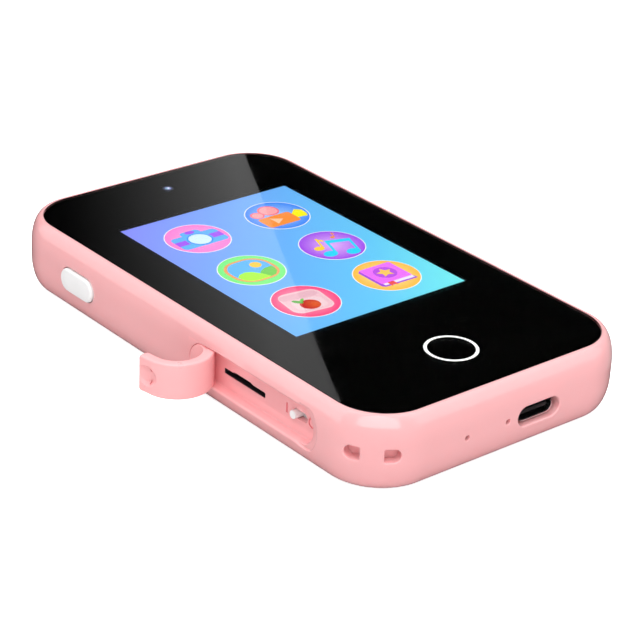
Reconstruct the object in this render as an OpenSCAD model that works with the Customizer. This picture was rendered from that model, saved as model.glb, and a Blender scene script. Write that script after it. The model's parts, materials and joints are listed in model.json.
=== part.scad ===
// Toy smartphone: a soft-cornered pink housing with a glass front, a screen,
// a side power button, and a side recess with a card slot, a slide switch
// and a rubber flap that curls open.
// Units are millimetres. The origin is the middle of the flat underside.
// +X is to the right of the screen, +Y is towards its top, +Z is out of it.

/* [Body] */
// Width across the sides
body_w = 67.7; // [66:0.1:70]
// Length from bottom end to top end
body_l = 117.3; // [117:0.1:119]
// Corner radius seen from the front
corner_r = 12.8; // [12.4:0.1:13.4]
// How far the front shoulder rolls inwards
front_roll = 2.3; // [2:0.1:2.3]
// How far the back edge rolls inwards
back_roll = 2.6; // [2:0.1:2.8]

/* [Front] */
// Gap between the glass and its rim
glass_gap = 0.05; // [0.03:0.01:0.1]
// Width of the lit picture area
screen_w = 43.2; // [40:0.1:44]
// Height of the lit picture area
screen_h = 57.6; // [54:0.1:58]
// Radius of the printed home ring
home_r = 4.93; // [3:0.01:6]

/* [Controls] */
// Power button travel
button_travel = 0.5; // [0.2:0.1:0.6]
// How far the power button stands out
button_proud = 0.8; // [0.5:0.1:1]
// Slide switch travel
switch_travel = 2.2; // [1.5:0.1:2.2]
// Radius of the slide switch peg
peg_r = 0.87; // [0.6:0.01:0.9]

/* [Flap] */
// Thickness of the rubber strip
flap_t = 2.3; // [1.8:0.1:2.3]
// Height of the rubber strip
flap_h = 7.4; // [7:0.1:7.5]
// Radius of the curl at mid thickness
curl_r = 6.1; // [5.8:0.1:6.5]

/* [Hidden] */
$fn = 96;
eps = 0.01;
body_t = 15.1;
front_drop = 6.0;
back_rise = 6.15;
side = body_w / 2;
end = body_l / 2;
wall = 2.3;
glass_t = 1.0;
mask_t = 0.2;
glass_z = body_t - glass_t;
ledge_z = glass_z - mask_t;
plate_z = ledge_z - 1.0;
lip_w = 0.2;
glass_in = front_roll + lip_w + glass_gap;
cover_t = 1.6;
cover_in = 4.15;
seat_in = cover_in + 1.0;
cover_gap = 0.15;
cavity_z = 2.8;
boss_r = 2.5;
post_r = 2.0;
pilot_r = 1.0;
post_pilot_r = 0.8;
pinhole_r = 0.55;
key_gap = 0.1;
key_size = [11.2, 5.1];
key_flange = [12.4, 6.3];
port_size = [10.6, 4.1];
shell_size = [8.94, 3.16];
shell_t = 0.3;
shell_l = 7.3;
strap_r = 1.2;
strap_y = -8;
ring_half = 0.29;
ring_t = 0.1;
screen_drop = 0.23;
window_margin = 0.6;
screen_pos = [1.2, 8.06];
cam_pos = [0.2, 48.7];
home_pos = [0, -41.6];
board_z = 3.9;
board_t = 1.0;
top_z = board_z + board_t;
boss_xy = [[-25, 49], [25, 49], [20, -46.5], [-20, -46.5]];
post_xy = [[24, -33], [-10, -36]];
button_c = [32.7, 7.45];
recess_z = 7.65;
recess_h = 7.6;
recess_y = [-5.3, -43.1];
recess_d = 2.5;
floor_x = -side + recess_d;
shelf_x = floor_x + 1.4;
slot_y = [-25.5, -13.05];
slot_z = [6.55, 7.73];
peg_y = -34.7;
usb_c = [7.25, 6.65];
usb_y = -end + 1.15;
mic_c = [-0.75, 7.0];
reset_c = [-10.9, 6.9];
loop_c = [-side + corner_r, -end + corner_r];
loop_z = 7.7;
loop_h = 2.7;
rear_cam = [17, 46];
flash_xy = [8, 46];
speaker_xy = [-15.5, 46];
curl_c = [-38.1, -6.9];
strip_x = -side + 0.05 + flap_t / 2;
first_turn = 35;
turn = 27.2;
link_gap = 0.06;
tip_len = 2.8;

// Flat shape with round corners, made of a cross and four discs
module rounded(w, l, r) {
  square([w - 2 * r, l], center = true);
  square([w, l - 2 * r], center = true);
  for (x = [-1, 1], y = [-1, 1])
    translate([x * (w / 2 - r), y * (l / 2 - r)]) circle(r);
}

// Flat bar with half-round ends, w long and h high
module stadium(w, h) {
  square([w - h, h], center = true);
  for (x = [-1, 1]) translate([x * (w - h) / 2, 0]) circle(h / 2);
}

// Plate with round corners, from height a to height b
module plate(w, l, r, a, b) {
  translate([0, 0, a]) linear_extrude(b - a) rounded(w, l, r);
}

// Bar with half-round ends, laid along Y and standing out along X
module bar_x(x0, x1, y, z, w, h) {
  translate([x0, y, z]) rotate([90, 0, 90]) linear_extrude(x1 - x0) stadium(w, h);
}

// Bar with half-round ends, laid along X and reaching along Y
module bar_y(y0, y1, x, z, w, h) {
  translate([x, y1, z]) rotate([90, 0, 0]) linear_extrude(y1 - y0) stadium(w, h);
}

// Round pegs along X and along Y
module peg_along_x(x0, x1, y, z, r) {
  translate([x0, y, z]) rotate([0, 90, 0]) cylinder(h = x1 - x0, r = r);
}
module peg_along_y(y0, y1, x, z, r) {
  translate([x, y1, z]) rotate([90, 0, 0]) cylinder(h = y1 - y0, r = r);
}

// Block between two corner points
module block(a, b) {
  translate(a) cube(b - a);
}

// Round wire through a list of points
module wire(pts, r) {
  for (i = [0 : len(pts) - 2]) {
    d = pts[i + 1] - pts[i];
    translate(pts[i])
      rotate([0, acos(d[2] / norm(d)), atan2(d[1], d[0])])
        cylinder(h = norm(d), r = r, $fn = 32);
    if (i > 0) translate(pts[i]) sphere(r, $fn = 32);
  }
}

// Half section of the body's edge, r being the distance from the corner centre
function edge_points(n) = concat(
  [for (i = [0 : n]) let (a = 90 * i / n)
    [corner_r - back_roll * (1 - sin(a)), back_rise * (1 - cos(a))]],
  [for (i = [0 : n]) let (a = 90 * i / n)
    [corner_r - front_roll * (1 - cos(a)), body_t - front_drop * (1 - sin(a))]]);

module edge_half() {
  polygon(concat([[0, 0]], edge_points(8), [[0, body_t]]));
}

// Edge section spanning a width of w between the two corner centres
module edge_full(w) {
  for (m = [0, 1]) mirror([m, 0]) translate([w / 2, 0]) edge_half();
  translate([-w / 2, 0]) square([w, body_t]);
}

module body_solid() {
  ww = body_w - 2 * corner_r;
  ll = body_l - 2 * corner_r;
  translate([0, ll / 2, 0]) rotate([90, 0, 0]) linear_extrude(ll) edge_full(ww);
  translate([-ww / 2, 0, 0]) rotate([90, 0, 90]) linear_extrude(ww) edge_full(ll);
  for (x = [0, 1], y = [0, 1]) mirror([x, 0, 0]) mirror([0, y, 0])
    translate([ww / 2, ll / 2, 0]) rotate_extrude(angle = 90) edge_half();
}

// One D-shaped mouth of the cord loop, flat side towards its partner
module loop_mouth(angle, flip) {
  rotate([0, 0, angle]) mirror([0, flip, 0]) translate([10.2, 0, loop_z]) {
    block([0, -0.21, -loop_h / 2], [3.8, 1.56, loop_h / 2]);
    translate([0, -0.21, 0]) rotate([0, 90, 0]) cylinder(h = 3.8, r = loop_h / 2, $fn = 48);
  }
}

module cord_loop_space() {
  translate(loop_c) {
    loop_mouth(206.3, 0);
    loop_mouth(240.5, 1);
    rotate([0, 0, 199.5]) rotate_extrude(angle = 48)
      translate([8.6, loop_z - loop_h / 2]) square([2.4, loop_h]);
  }
}

// Solid corner that carries the cord loop
module cord_block() {
  translate([loop_c[0], loop_c[1], loop_z - 2.7]) rotate([0, 0, 188])
    rotate_extrude(angle = 72) translate([7.4, 0]) square([4.4, 5.4]);
}

module housing() {
  color("pink") difference() {
    union() {
      difference() {
        body_solid();
        // room for the inside parts, and the wider seat of the back cover
        plate(body_w - 2 * wall, body_l - 2 * wall, corner_r - wall, cavity_z, plate_z);
        plate(body_w - 2 * seat_in, body_l - 2 * seat_in, corner_r - seat_in, 1, cavity_z + 0.2);
        plate(body_w - 2 * cover_in, body_l - 2 * cover_in, corner_r - cover_in, -1, cover_t);
      }
      block([-side + 1, recess_y[1] - 2.1, cavity_z - eps],
        [shelf_x, recess_y[0] + 1.9, plate_z + eps]);
      cord_block();
      for (p = boss_xy) translate([p[0], p[1], cover_t]) 
        cylinder(h = plate_z - cover_t + eps, r = boss_r);
      for (p = post_xy) translate([p[0], p[1], top_z]) 
        cylinder(h = plate_z - top_z + eps, r = post_r);
    }
    // seat of the glass front
    plate(body_w - 2 * glass_in + 2 * glass_gap, body_l - 2 * glass_in + 2 * glass_gap,
      corner_r - glass_in + glass_gap, ledge_z, body_t + 1);
    // screen window and front camera hole
    translate(screen_pos) block([-23.7, -31.7, 10], [23.7, 31.7, body_t]);
    translate(cam_pos) cylinder(h = body_t, r = 2.6);
    for (p = boss_xy) translate([p[0], p[1], 0]) cylinder(h = 9, r = pilot_r, $fn = 32);
    for (p = post_xy) translate([p[0], p[1], 0]) cylinder(h = 9, r = post_pilot_r, $fn = 32);
    // side recess, its card slot, switch slot, strap hole and engraved marks
    bar_x(-side - 1, floor_x, (recess_y[0] + recess_y[1]) / 2, recess_z,
      recess_y[0] - recess_y[1], recess_h);
    block([floor_x - 1, slot_y[0], slot_z[0]], [-26, slot_y[1], slot_z[1]]);
    block([floor_x - 1, slot_y[0] + 4.2, slot_z[1] - eps], [-26, slot_y[1] - 3.0, slot_z[1] + 0.25]);
    bar_x(floor_x - 1, -26, peg_y - switch_travel / 2 - 0.02, recess_z,
      switch_travel + 2 * peg_r + 0.24, 2 * peg_r + 0.16);
    peg_along_x(floor_x - 1, -26, strap_y, recess_z, strap_r + 0.05);
    block([floor_x - 1, -32.05, 6.65], [floor_x + 0.15, -31.8, 8.65]);
    translate([floor_x - 1, -39.2, recess_z]) rotate([0, 90, 0]) difference() {
      cylinder(h = 1.15, r = 1.05, $fn = 48);
      translate([0, 0, -1]) cylinder(h = 4, r = 0.8, $fn = 48);
    }
    // power button hole
    bar_x(-side - 1, -side + 4, button_c[0], button_c[1],
      key_size[0] + 2 * key_gap, key_size[1] + 2 * key_gap);
    // charging port, microphone hole and reset hole
    bar_y(-end - 1, -end + 4, usb_c[0], usb_c[1], port_size[0], port_size[1]);
    for (c = [mic_c, reset_c]) peg_along_y(-end - 1, -end + 4, c[0], c[1], pinhole_r);
    cord_loop_space();
  }
}

module back_cover() {
  color("pink") difference() {
    plate(body_w - 2 * (cover_in + cover_gap), body_l - 2 * (cover_in + cover_gap),
      corner_r - cover_in - cover_gap, 0, cover_t);
    for (p = boss_xy) translate([p[0], p[1], -1]) {
      cylinder(h = 4, r = 1.1, $fn = 32);
      cylinder(h = 1.9, r = 2.0, $fn = 48);
    }
    translate([rear_cam[0], rear_cam[1], -1]) cylinder(h = 4, r = 4.6);
    translate([flash_xy[0], flash_xy[1], -1]) cylinder(h = 4, r = 1.5, $fn = 48);
    translate([speaker_xy[0], speaker_xy[1], -1]) {
      cylinder(h = 4, r = 0.6, $fn = 24);
      for (a = [0 : 60 : 300]) rotate([0, 0, a]) translate([2.2, 0, 0]) cylinder(h = 4, r = 0.6, $fn = 24);
      for (a = [0 : 30 : 330]) rotate([0, 0, a + 15]) translate([4.3, 0, 0]) cylinder(h = 4, r = 0.6, $fn = 24);
    }
  }
}

// Screw pointing up from height z, with a cross in its head
module screw(z, head_r, head_h, shaft_r, length) {
  difference() {
    union() {
      translate([0, 0, z]) cylinder(h = head_h, r = head_r, $fn = 48);
      translate([0, 0, z + head_h - eps]) cylinder(h = length, r = shaft_r, $fn = 32);
    }
    for (a = [0, 90]) rotate([0, 0, a])
      translate([-head_r * 0.6, -0.18, z - 1]) cube([head_r * 1.2, 0.36, 1.35]);
  }
}

module cover_screws() {
  color("silver") for (p = boss_xy) translate([p[0], p[1], 0]) screw(0.15, 1.8, 0.75, 0.95, 6.5);
}

module front_panel() {
  color("DarkSlateGray", 0.4) difference() {
    plate(body_w - 2 * glass_in, body_l - 2 * glass_in, corner_r - glass_in, glass_z, body_t);
    translate([home_pos[0], home_pos[1], glass_z - 1]) difference() {
      cylinder(h = 1 + ring_t, r = home_r + ring_half);
      translate([0, 0, -1]) cylinder(h = 4, r = home_r - ring_half);
    }
  }
}

module panel_mask() {
  color("black") difference() {
    plate(body_w - 2 * glass_in - 0.2, body_l - 2 * glass_in - 0.2, corner_r - glass_in - 0.1,
      ledge_z, glass_z);
    translate(screen_pos) block([-screen_w / 2 - window_margin, -screen_h / 2 - window_margin, 5],
      [screen_w / 2 + window_margin, screen_h / 2 + window_margin, 20]);
    translate([cam_pos[0], cam_pos[1], 5]) cylinder(h = 20, r = 1.85, $fn = 64);
  }
}

module home_ring() {
  color("white") translate([home_pos[0], home_pos[1], glass_z]) difference() {
    cylinder(h = ring_t, r = home_r + ring_half);
    translate([0, 0, -1]) cylinder(h = 3, r = home_r - ring_half);
  }
}

module lcd_panel() {
  color("LightSkyBlue") translate([screen_pos[0], screen_pos[1], 0])
    block([-23.2, -31.2, plate_z - 0.8], [23.2, 31.2, ledge_z - screen_drop]);
}

module lcd_frame() {
  color("silver") translate([screen_pos[0], screen_pos[1], 0]) difference() {
    block([-25.5, -35, plate_z - 2.3], [25.5, 35, plate_z]);
    block([-23.5, -31.5, plate_z - 0.8], [23.5, 31.5, plate_z + 1]);
  }
}

// Flat cable from the lower edge of the screen to its socket on the board
module lcd_ribbon() {
  color("orange") translate([-5, 0, 0]) rotate([90, 0, 90]) linear_extrude(10) {
    translate([-29.2, 11.2]) square([2.26, 0.25]);
    translate([-29.2, 6.4]) square([0.25, 5.05]);
    translate([-30.6, 6.4]) square([1.65, 0.25]);
  }
}

module lcd_connector() {
  color("ivory") difference() {
    block([-6, -33.2, top_z], [6, -30.0, 7.0]);
    block([-5.1, -31.0, 6.35], [5.1, -29, 6.7]);
  }
}

module front_camera() {
  color("DimGray") translate([cam_pos[0], cam_pos[1], 0]) difference() {
    union() {
      block([-3.5, -3.5, 9.2], [3.5, 3.5, plate_z]);
      translate([0, 0, plate_z - eps]) cylinder(h = 0.95, r = 2.3);
    }
    translate([0, 0, 13.4]) cylinder(h = 2, r = 1.1, $fn = 48);
  }
}

module front_camera_lens() {
  color("SlateBlue") translate([cam_pos[0], cam_pos[1], 13.4]) intersection() {
    cylinder(h = 0.45, r = 1.08, $fn = 48);
    translate([0, 0, -2]) sphere(r = 2.45, $fn = 64);
  }
}

module rear_camera() {
  color("DimGray") translate([rear_cam[0], rear_cam[1], 0]) difference() {
    union() {
      translate([0, 0, 1.1]) cylinder(h = 2.5, r = 2.9);
      block([-4.2, -4.2, 3.4], [4.2, 4.2, 6.4]);
    }
    translate([0, 0, 0.5]) cylinder(h = 1.1, r = 1.9);
  }
}

module rear_camera_bezel() {
  color("silver") translate([rear_cam[0], rear_cam[1], 0]) difference() {
    cylinder(h = 1.05, r = 4.55);
    translate([0, 0, -1]) cylinder(h = 1.7, r = 3.65);
    cylinder(h = 3, r = 2.7);
  }
}

module rear_camera_window() {
  color("DarkSlateGray", 0.5) translate([rear_cam[0], rear_cam[1], 0.1]) cylinder(h = 0.6, r = 3.62);
}

module flash_led() {
  color("LightYellow") translate([flash_xy[0], flash_xy[1], 0.1]) {
    cylinder(h = 2.2, r = 1.45, $fn = 48);
    block([-1.8, -1.8, 2.0], [1.8, 1.8, 2.9]);
  }
}

// Flat cable that joins both cameras and the flash to the board
module camera_ribbon() {
  color("orange") {
    block([-24.8, 37, 9.0], [21, 39, 9.2]);
    block([-2.5, 37, 9.0], [2.9, 48, 9.2]);
    block([15, 37, 9.0], [19, 44, 9.2]);
    block([15, 43.8, 6.4], [19, 44, 9.1]);
    block([7, 37, 9.0], [9, 46.2, 9.2]);
    block([7, 46, 3.0], [9, 46.2, 9.1]);
    block([-24.8, 35, 9.0], [-20.3, 37.2, 9.2]);
    block([-24.8, 35, 6.3], [-20.3, 35.2, 9.1]);
  }
}

module ribbon_connector() {
  color("ivory") difference() {
    block([-25.2, 33.9, top_z], [-19.9, 36.3, 6.5]);
    block([-24.9, 34.8, 6.28], [-20.2, 35.4, 7]);
  }
}

module main_board() {
  color("SeaGreen") difference() {
    union() {
      block([-29.4, -46, board_z], [28, -2, top_z]);
      block([-17, -55.6, board_z], [17, -45.9, top_z]);
      block([-29.4, -2.1, board_z], [-17.5, 37, top_z]);
    }
    for (p = boss_xy) translate([p[0], p[1], 0]) cylinder(h = 9, r = 2.8);
    for (p = post_xy) translate([p[0], p[1], 0]) cylinder(h = 9, r = 0.9, $fn = 32);
  }
}

module board_screws() {
  color("silver") for (p = post_xy) translate([p[0], p[1], 0]) screw(3.2, 1.5, 0.7, 0.75, 4);
}

module main_chip() {
  color("#222222") block([4, -24, top_z], [14, -14, 6.1]);
}

module memory_chip() {
  color("#222222") block([17, -23, top_z], [25, -16, 6.0]);
}

module battery() {
  color("silver") {
    block([-15.5, 0.5, 2.9], [26, 35.5, 8.3]);
    block([-15.5, 35.4, 3.6], [26, 36.5, 7.6]);
  }
}

module battery_pad() {
  color("gray") block([-12, 4, cover_t], [22, 32, 2.9]);
}

module battery_lead_red() {
  color("red") wire([[-15.5, 28, 6.3], [-17, 28, 6.3], [-18.2, 26, 6.3], [-20, 26, 6.3]], 0.5);
}

module battery_lead_black() {
  color("#222222") wire([[-15.5, 24, 6.3], [-17, 24, 6.3], [-18.2, 22, 6.3], [-20, 22, 6.3]], 0.5);
}

module speaker() {
  color("DimGray") translate([speaker_xy[0], speaker_xy[1], 0]) difference() {
    union() {
      translate([0, 0, 2.1]) cylinder(h = 2.0, r = 6.6);
      translate([0, 0, 4.1 - eps]) cylinder(h = 2.0, r = 4.6);
      block([-3, -7.6, 2.1], [1.5, -5.8, 3.7]);
    }
    translate([0, 0, 1]) cylinder(h = 1.8, r = 5.4);
  }
}

module speaker_gasket() {
  color("#222222") translate([speaker_xy[0], speaker_xy[1], cover_t]) difference() {
    cylinder(h = 0.5, r = 6.6);
    translate([0, 0, -1]) cylinder(h = 3, r = 5.5);
  }
}

module speaker_lead_a() {
  color("red") wire([[-17, 38.4, 3.0], [-17, 31.2, 3.0], [-17, 31.2, 7.4], [-20, 31.2, 7.4]], 0.35);
}

module speaker_lead_b() {
  color("#222222") wire([[-16, 38.4, 3.0], [-16, 29.6, 3.0], [-16, 29.6, 6.2], [-20, 29.6, 6.2]], 0.35);
}

// Two identical sockets for the battery and speaker wires
module wire_sockets() {
  color("ivory") {
    block([-24.5, 20.5, top_z], [-20, 27.5, 7.6]);
    block([-24.5, 28.4, top_z], [-20, 32.4, 8.2]);
  }
}

module microphone() {
  color("gold") difference() {
    block([-2.9, -55.2, top_z], [1.4, -52.4, 8.8]);
    peg_along_y(-56, -54, mic_c[0], mic_c[1], 0.5);
  }
}

module microphone_boot() {
  color("#222222") difference() {
    peg_along_y(-end + wall, -55.2, mic_c[0], mic_c[1], 1.7);
    peg_along_y(-60, -50, mic_c[0], mic_c[1], 0.6);
  }
}

module usb_shell() {
  color("silver") difference() {
    union() {
      bar_y(usb_y, usb_y + shell_l, usb_c[0], usb_c[1], shell_size[0], shell_size[1]);
      block([4.2, -55.5, top_z], [5.0, -51, 5.3]);
      block([9.5, -55.5, top_z], [10.3, -51, 5.3]);
    }
    bar_y(usb_y - 1, usb_y + shell_l - shell_t, usb_c[0], usb_c[1],
      shell_size[0] - 2 * shell_t, shell_size[1] - 2 * shell_t);
  }
}

module usb_tongue() {
  color("#222222") {
    bar_y(usb_y + 5.2, usb_y + 7.0, usb_c[0], usb_c[1], 8.3, 2.52);
    block([usb_c[0] - 3.35, usb_y + 0.6, usb_c[1] - 0.35], [usb_c[0] + 3.35, usb_y + 5.3, usb_c[1] + 0.35]);
  }
}

module card_socket() {
  color("#222222") difference() {
    block([shelf_x + 0.05, -26.4, top_z], [-13.4, -12.2, 7.9]);
    block([shelf_x - 1, slot_y[0] + 0.1, slot_z[0] + 0.05], [-14.6, slot_y[1] - 0.1, 8.5]);
  }
}

module card_socket_cover() {
  color("silver") difference() {
    block([shelf_x + 0.05, -26.65, 6.9], [-14, -11.95, 8.15]);
    block([shelf_x - 1, -26.45, 6], [-10, -12.15, 7.95]);
  }
}

module power_button() {
  color("white") {
    bar_x(-side - button_proud, -side + wall + 0.2, button_c[0], button_c[1],
      key_size[0], key_size[1]);
    bar_x(-side + wall + 0.1, -side + wall + 0.9, button_c[0], button_c[1],
      key_flange[0], key_flange[1]);
  }
}

module button_plunger() {
  color("#222222") peg_along_x(-side + wall + 0.9, -28.9, button_c[0], button_c[1], 0.9);
}

module button_switch() {
  color("silver") difference() {
    block([-29.6, 29.7, top_z], [-25.6, 35.7, 9.9]);
    peg_along_x(-30, -28.9 + button_travel + 0.2, button_c[0], button_c[1], 0.97);
  }
}

module switch_body() {
  color("silver") difference() {
    block([shelf_x + 0.05, peg_y - 6.7, top_z], [-26.2, peg_y + 4.3, 10.2]);
    block([shelf_x - 1, peg_y - 3.5 - switch_travel, recess_z - 1.5], [-27.2, peg_y + 3.5, recess_z + 1.5]);
  }
}

module switch_lever() {
  color("white") {
    peg_along_x(floor_x - 1.0, shelf_x + 0.4, peg_y, recess_z, peg_r);
    block([shelf_x + 0.3, peg_y - 3.3, recess_z - 1.4], [-27.4, peg_y + 3.3, recess_z + 1.4]);
  }
}

module reset_switch() {
  color("silver") difference() {
    block([-13.4, -55.4, top_z], [-8.4, -52.0, 8.9]);
    peg_along_y(-56, -53.6, reset_c[0], reset_c[1], 0.77);
  }
}

module reset_plunger() {
  color("#222222") peg_along_y(-56.1, -54.2, reset_c[0], reset_c[1], 0.7);
}

// Direction of link i at rest, and the point where it turns on the one before
function heading(i) = -90 - first_turn - (i - 1) * turn;
function along(a) = [cos(a), sin(a)];
function on_curl(i) = curl_c + curl_r * along(heading(i) + 90);
first_x = strip_x - on_curl(1)[0];
first_pivot = on_curl(1) + first_x / along(heading(1))[0] * along(heading(1));
function pivot(i) = i == 1 ? first_pivot
  : i == 7 ? on_curl(6) + tip_len * along(heading(6))
  : curl_c + curl_r / cos(turn / 2) * along(heading(i) + 90 + turn / 2);

// Fixed end of the rubber strip, held by a stud through the recess floor
module flap_root() {
  y = first_pivot[1] + link_gap;
  color("LightPink") {
    intersection() {
      bar_x(strip_x - flap_t / 2, floor_x, (recess_y[0] - 0.1 + recess_y[1]) / 2, recess_z,
        recess_y[0] - 0.1 - recess_y[1], flap_h);
      linear_extrude(20) polygon([[-40, 0], [-20, 0], [-20, y], [strip_x, y],
        [strip_x - 4, y + 4 * tan(first_turn / 2)], [-40, y + 4 * tan(first_turn / 2)]]);
    }
    peg_along_x(floor_x - eps, shelf_x + 0.02, strap_y, recess_z, strap_r);
    peg_along_x(shelf_x + 0.01, shelf_x + 0.8, strap_y, recess_z, 2.0);
  }
}

// Short length of the strip; its outer face is bevelled so that it can curl
module link(i, turn_in, turn_out) {
  half = flap_t / 2;
  length = norm(pivot(i + 1) - pivot(i));
  translate([pivot(i)[0], pivot(i)[1], recess_z - flap_h / 2]) rotate([0, 0, heading(i)])
    linear_extrude(flap_h) polygon([[link_gap, 0], [link_gap, half], [length - link_gap, half],
      [length - link_gap, 0], [length - link_gap - half * tan(turn_out / 2), -half],
      [link_gap + half * tan(turn_in / 2), -half]]);
}

module flap_link_1() { color("LightPink") link(1, first_turn, turn); }
module flap_link_2() { color("LightPink") link(2, turn, turn); }
module flap_link_3() { color("LightPink") link(3, turn, turn); }
module flap_link_4() { color("LightPink") link(4, turn, turn); }
module flap_link_5() { color("LightPink") link(5, turn, turn); }

// Free end of the strip, with round corners and a fingernail scoop behind
module flap_link_6() {
  length = norm(pivot(7) - pivot(6));
  color("LightPink") difference() {
    intersection() {
      link(6, turn, 0);
      translate([pivot(6)[0], pivot(6)[1], recess_z]) rotate([90, 0, heading(6)])
        translate([length - link_gap - 10, 0, -5]) linear_extrude(10) rounded(20, flap_h, 1.0);
    }
    translate([pivot(6)[0], pivot(6)[1], recess_z]) rotate([0, 0, heading(6)])
      translate([length - 1.6, flap_t / 2 - 0.9, 0]) {
        rotate([-90, 0, 0]) cylinder(h = 3, r = 2.2, $fn = 48);
        block([0, 0, -2.2], [3, 3, 2.2]);
      }
  }
}

housing();
back_cover();
cover_screws();
front_panel();
panel_mask();
home_ring();
lcd_panel();
lcd_frame();
lcd_ribbon();
lcd_connector();
front_camera();
front_camera_lens();
rear_camera();
rear_camera_bezel();
rear_camera_window();
flash_led();
camera_ribbon();
ribbon_connector();
main_board();
board_screws();
main_chip();
memory_chip();
battery();
battery_pad();
battery_lead_red();
battery_lead_black();
speaker();
speaker_gasket();
speaker_lead_a();
speaker_lead_b();
wire_sockets();
microphone();
microphone_boot();
usb_shell();
usb_tongue();
card_socket();
card_socket_cover();
power_button();
button_plunger();
button_switch();
switch_body();
switch_lever();
reset_switch();
reset_plunger();
flap_root();
flap_link_1();
flap_link_2();
flap_link_3();
flap_link_4();
flap_link_5();
flap_link_6();
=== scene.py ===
import json
import math

import bmesh
import bpy
import numpy as np
from mathutils import Matrix, Vector


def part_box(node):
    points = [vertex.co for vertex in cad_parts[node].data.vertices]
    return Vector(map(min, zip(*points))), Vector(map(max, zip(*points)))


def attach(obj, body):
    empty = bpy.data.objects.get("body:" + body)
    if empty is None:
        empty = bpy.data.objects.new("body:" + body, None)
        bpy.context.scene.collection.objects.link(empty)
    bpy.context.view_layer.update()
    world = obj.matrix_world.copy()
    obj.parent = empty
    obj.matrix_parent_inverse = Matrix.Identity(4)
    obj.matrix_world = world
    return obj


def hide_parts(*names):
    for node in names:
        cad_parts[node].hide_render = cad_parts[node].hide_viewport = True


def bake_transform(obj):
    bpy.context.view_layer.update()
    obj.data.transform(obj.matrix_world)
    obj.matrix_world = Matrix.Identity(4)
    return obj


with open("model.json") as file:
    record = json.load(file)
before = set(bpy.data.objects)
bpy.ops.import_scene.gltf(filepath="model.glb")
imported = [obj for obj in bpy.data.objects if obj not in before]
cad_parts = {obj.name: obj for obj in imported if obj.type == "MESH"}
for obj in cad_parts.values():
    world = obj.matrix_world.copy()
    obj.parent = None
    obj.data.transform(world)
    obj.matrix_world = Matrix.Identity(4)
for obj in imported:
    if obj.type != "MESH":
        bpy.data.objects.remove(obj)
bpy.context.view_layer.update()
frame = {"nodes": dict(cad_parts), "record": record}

MM = 0.001


# ---------------------------------------------------------------- the frame, in millimetres

def box_mm(node):
    low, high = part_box(node)
    return np.array(low) / MM, np.array(high) / MM


BODY_HIGH = box_mm("housing")[1]
GLASS_LOW, GLASS_HIGH = box_mm("front_panel")
SCREEN_LOW, SCREEN_HIGH = box_mm("lcd_panel")
HALF_W = BODY_HIGH[0]
HALF_L = BODY_HIGH[1]
TOP = BODY_HIGH[2]
CORNER = 12.8          # plan radius of the housing's corners
WALL = 2.3
FRONT_ROLL, FRONT_DROP = 2.3, 6.0
BACK_ROLL, BACK_RISE = 2.6, 6.15
GLASS_IN = HALF_W - GLASS_HIGH[0]
LEDGE_Z = GLASS_LOW[2] - 0.2
CAVITY_TOP = LEDGE_Z - 1.0


# ---------------------------------------------------------------- node materials

class Shade:
    """Builds one node material around a Principled shader."""

    def __init__(self, name, color, rough, **sockets):
        self.mat = bpy.data.materials.new(name)
        self.mat.use_nodes = True
        self.tree = self.mat.node_tree
        self.bsdf = next(n for n in self.tree.nodes if n.type == "BSDF_PRINCIPLED")
        self.bsdf.inputs["Base Color"].default_value = (*color, 1)
        self.bsdf.inputs["Roughness"].default_value = rough
        self.color = color
        self.rough = rough
        for key, value in sockets.items():
            self.bsdf.inputs[key.replace("_", " ")].default_value = value

    def node(self, kind, inputs=None, **settings):
        made = self.tree.nodes.new(kind)
        for key, value in settings.items():
            setattr(made, key, value)
        for key, value in (inputs or {}).items():
            if isinstance(value, bpy.types.NodeSocket):
                self.tree.links.new(value, made.inputs[key])
            else:
                made.inputs[key].default_value = value
        return made

    def place(self, scale=(1, 1, 1)):
        """Object coordinates in millimetres, stretched by scale."""
        coords = self.node("ShaderNodeTexCoord")
        mapping = self.node("ShaderNodeMapping", {"Vector": coords.outputs["Object"]})
        mapping.inputs["Scale"].default_value = [s / MM for s in scale]
        return mapping.outputs[0]

    def noise(self, scale, detail=3, stretch=(1, 1, 1)):
        """Noise with the given number of bumps in a millimetre."""
        inputs = {"Vector": self.place(stretch), "Scale": scale, "Detail": detail}
        return self.node("ShaderNodeTexNoise", inputs).outputs["Fac"]

    def ramp(self, fac, low, high):
        inputs = {"Value": fac, "From Min": 0.3, "From Max": 0.7, "To Min": low, "To Max": high}
        return self.node("ShaderNodeMapRange", inputs).outputs[0]

    def mix(self, fac, a, b, blend="MIX"):
        made = self.node("ShaderNodeMix", data_type="RGBA", blend_type=blend)
        for key, value in (("Factor", fac), ("A", a), ("B", b)):
            socket = next(s for s in made.inputs if s.name == key and s.enabled)
            if isinstance(value, bpy.types.NodeSocket):
                self.tree.links.new(value, socket)
            else:
                socket.default_value = value
        return next(s for s in made.outputs if s.enabled)

    def set(self, key, socket):
        self.tree.links.new(socket, self.bsdf.inputs[key])
        return self

    def bump(self, height, strength, distance):
        inputs = {"Height": height, "Strength": strength, "Distance": distance * MM}
        made = self.node("ShaderNodeBump", inputs)
        last = self.bsdf.inputs["Normal"].links
        if last:
            self.tree.links.new(last[0].from_socket, made.inputs["Normal"])
        return self.set("Normal", made.outputs[0])

    def vary(self, scale, amount, detail=4, stretch=(1, 1, 1)):
        """Slow drift of the colour between a darker and a lighter tone."""
        dark = (*[c * (1 - amount) for c in self.color], 1)
        light = (*[min(1, c * (1 + amount)) for c in self.color], 1)
        fac = self.ramp(self.noise(scale, detail, stretch), 0, 1)
        return self.set("Base Color", self.mix(fac, dark, light))

    def roughen(self, scale, amount, detail=4, stretch=(1, 1, 1)):
        fac = self.noise(scale, detail, stretch)
        low, high = max(0.02, self.rough - amount), min(1, self.rough + amount)
        return self.set("Roughness", self.ramp(fac, low, high))


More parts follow.
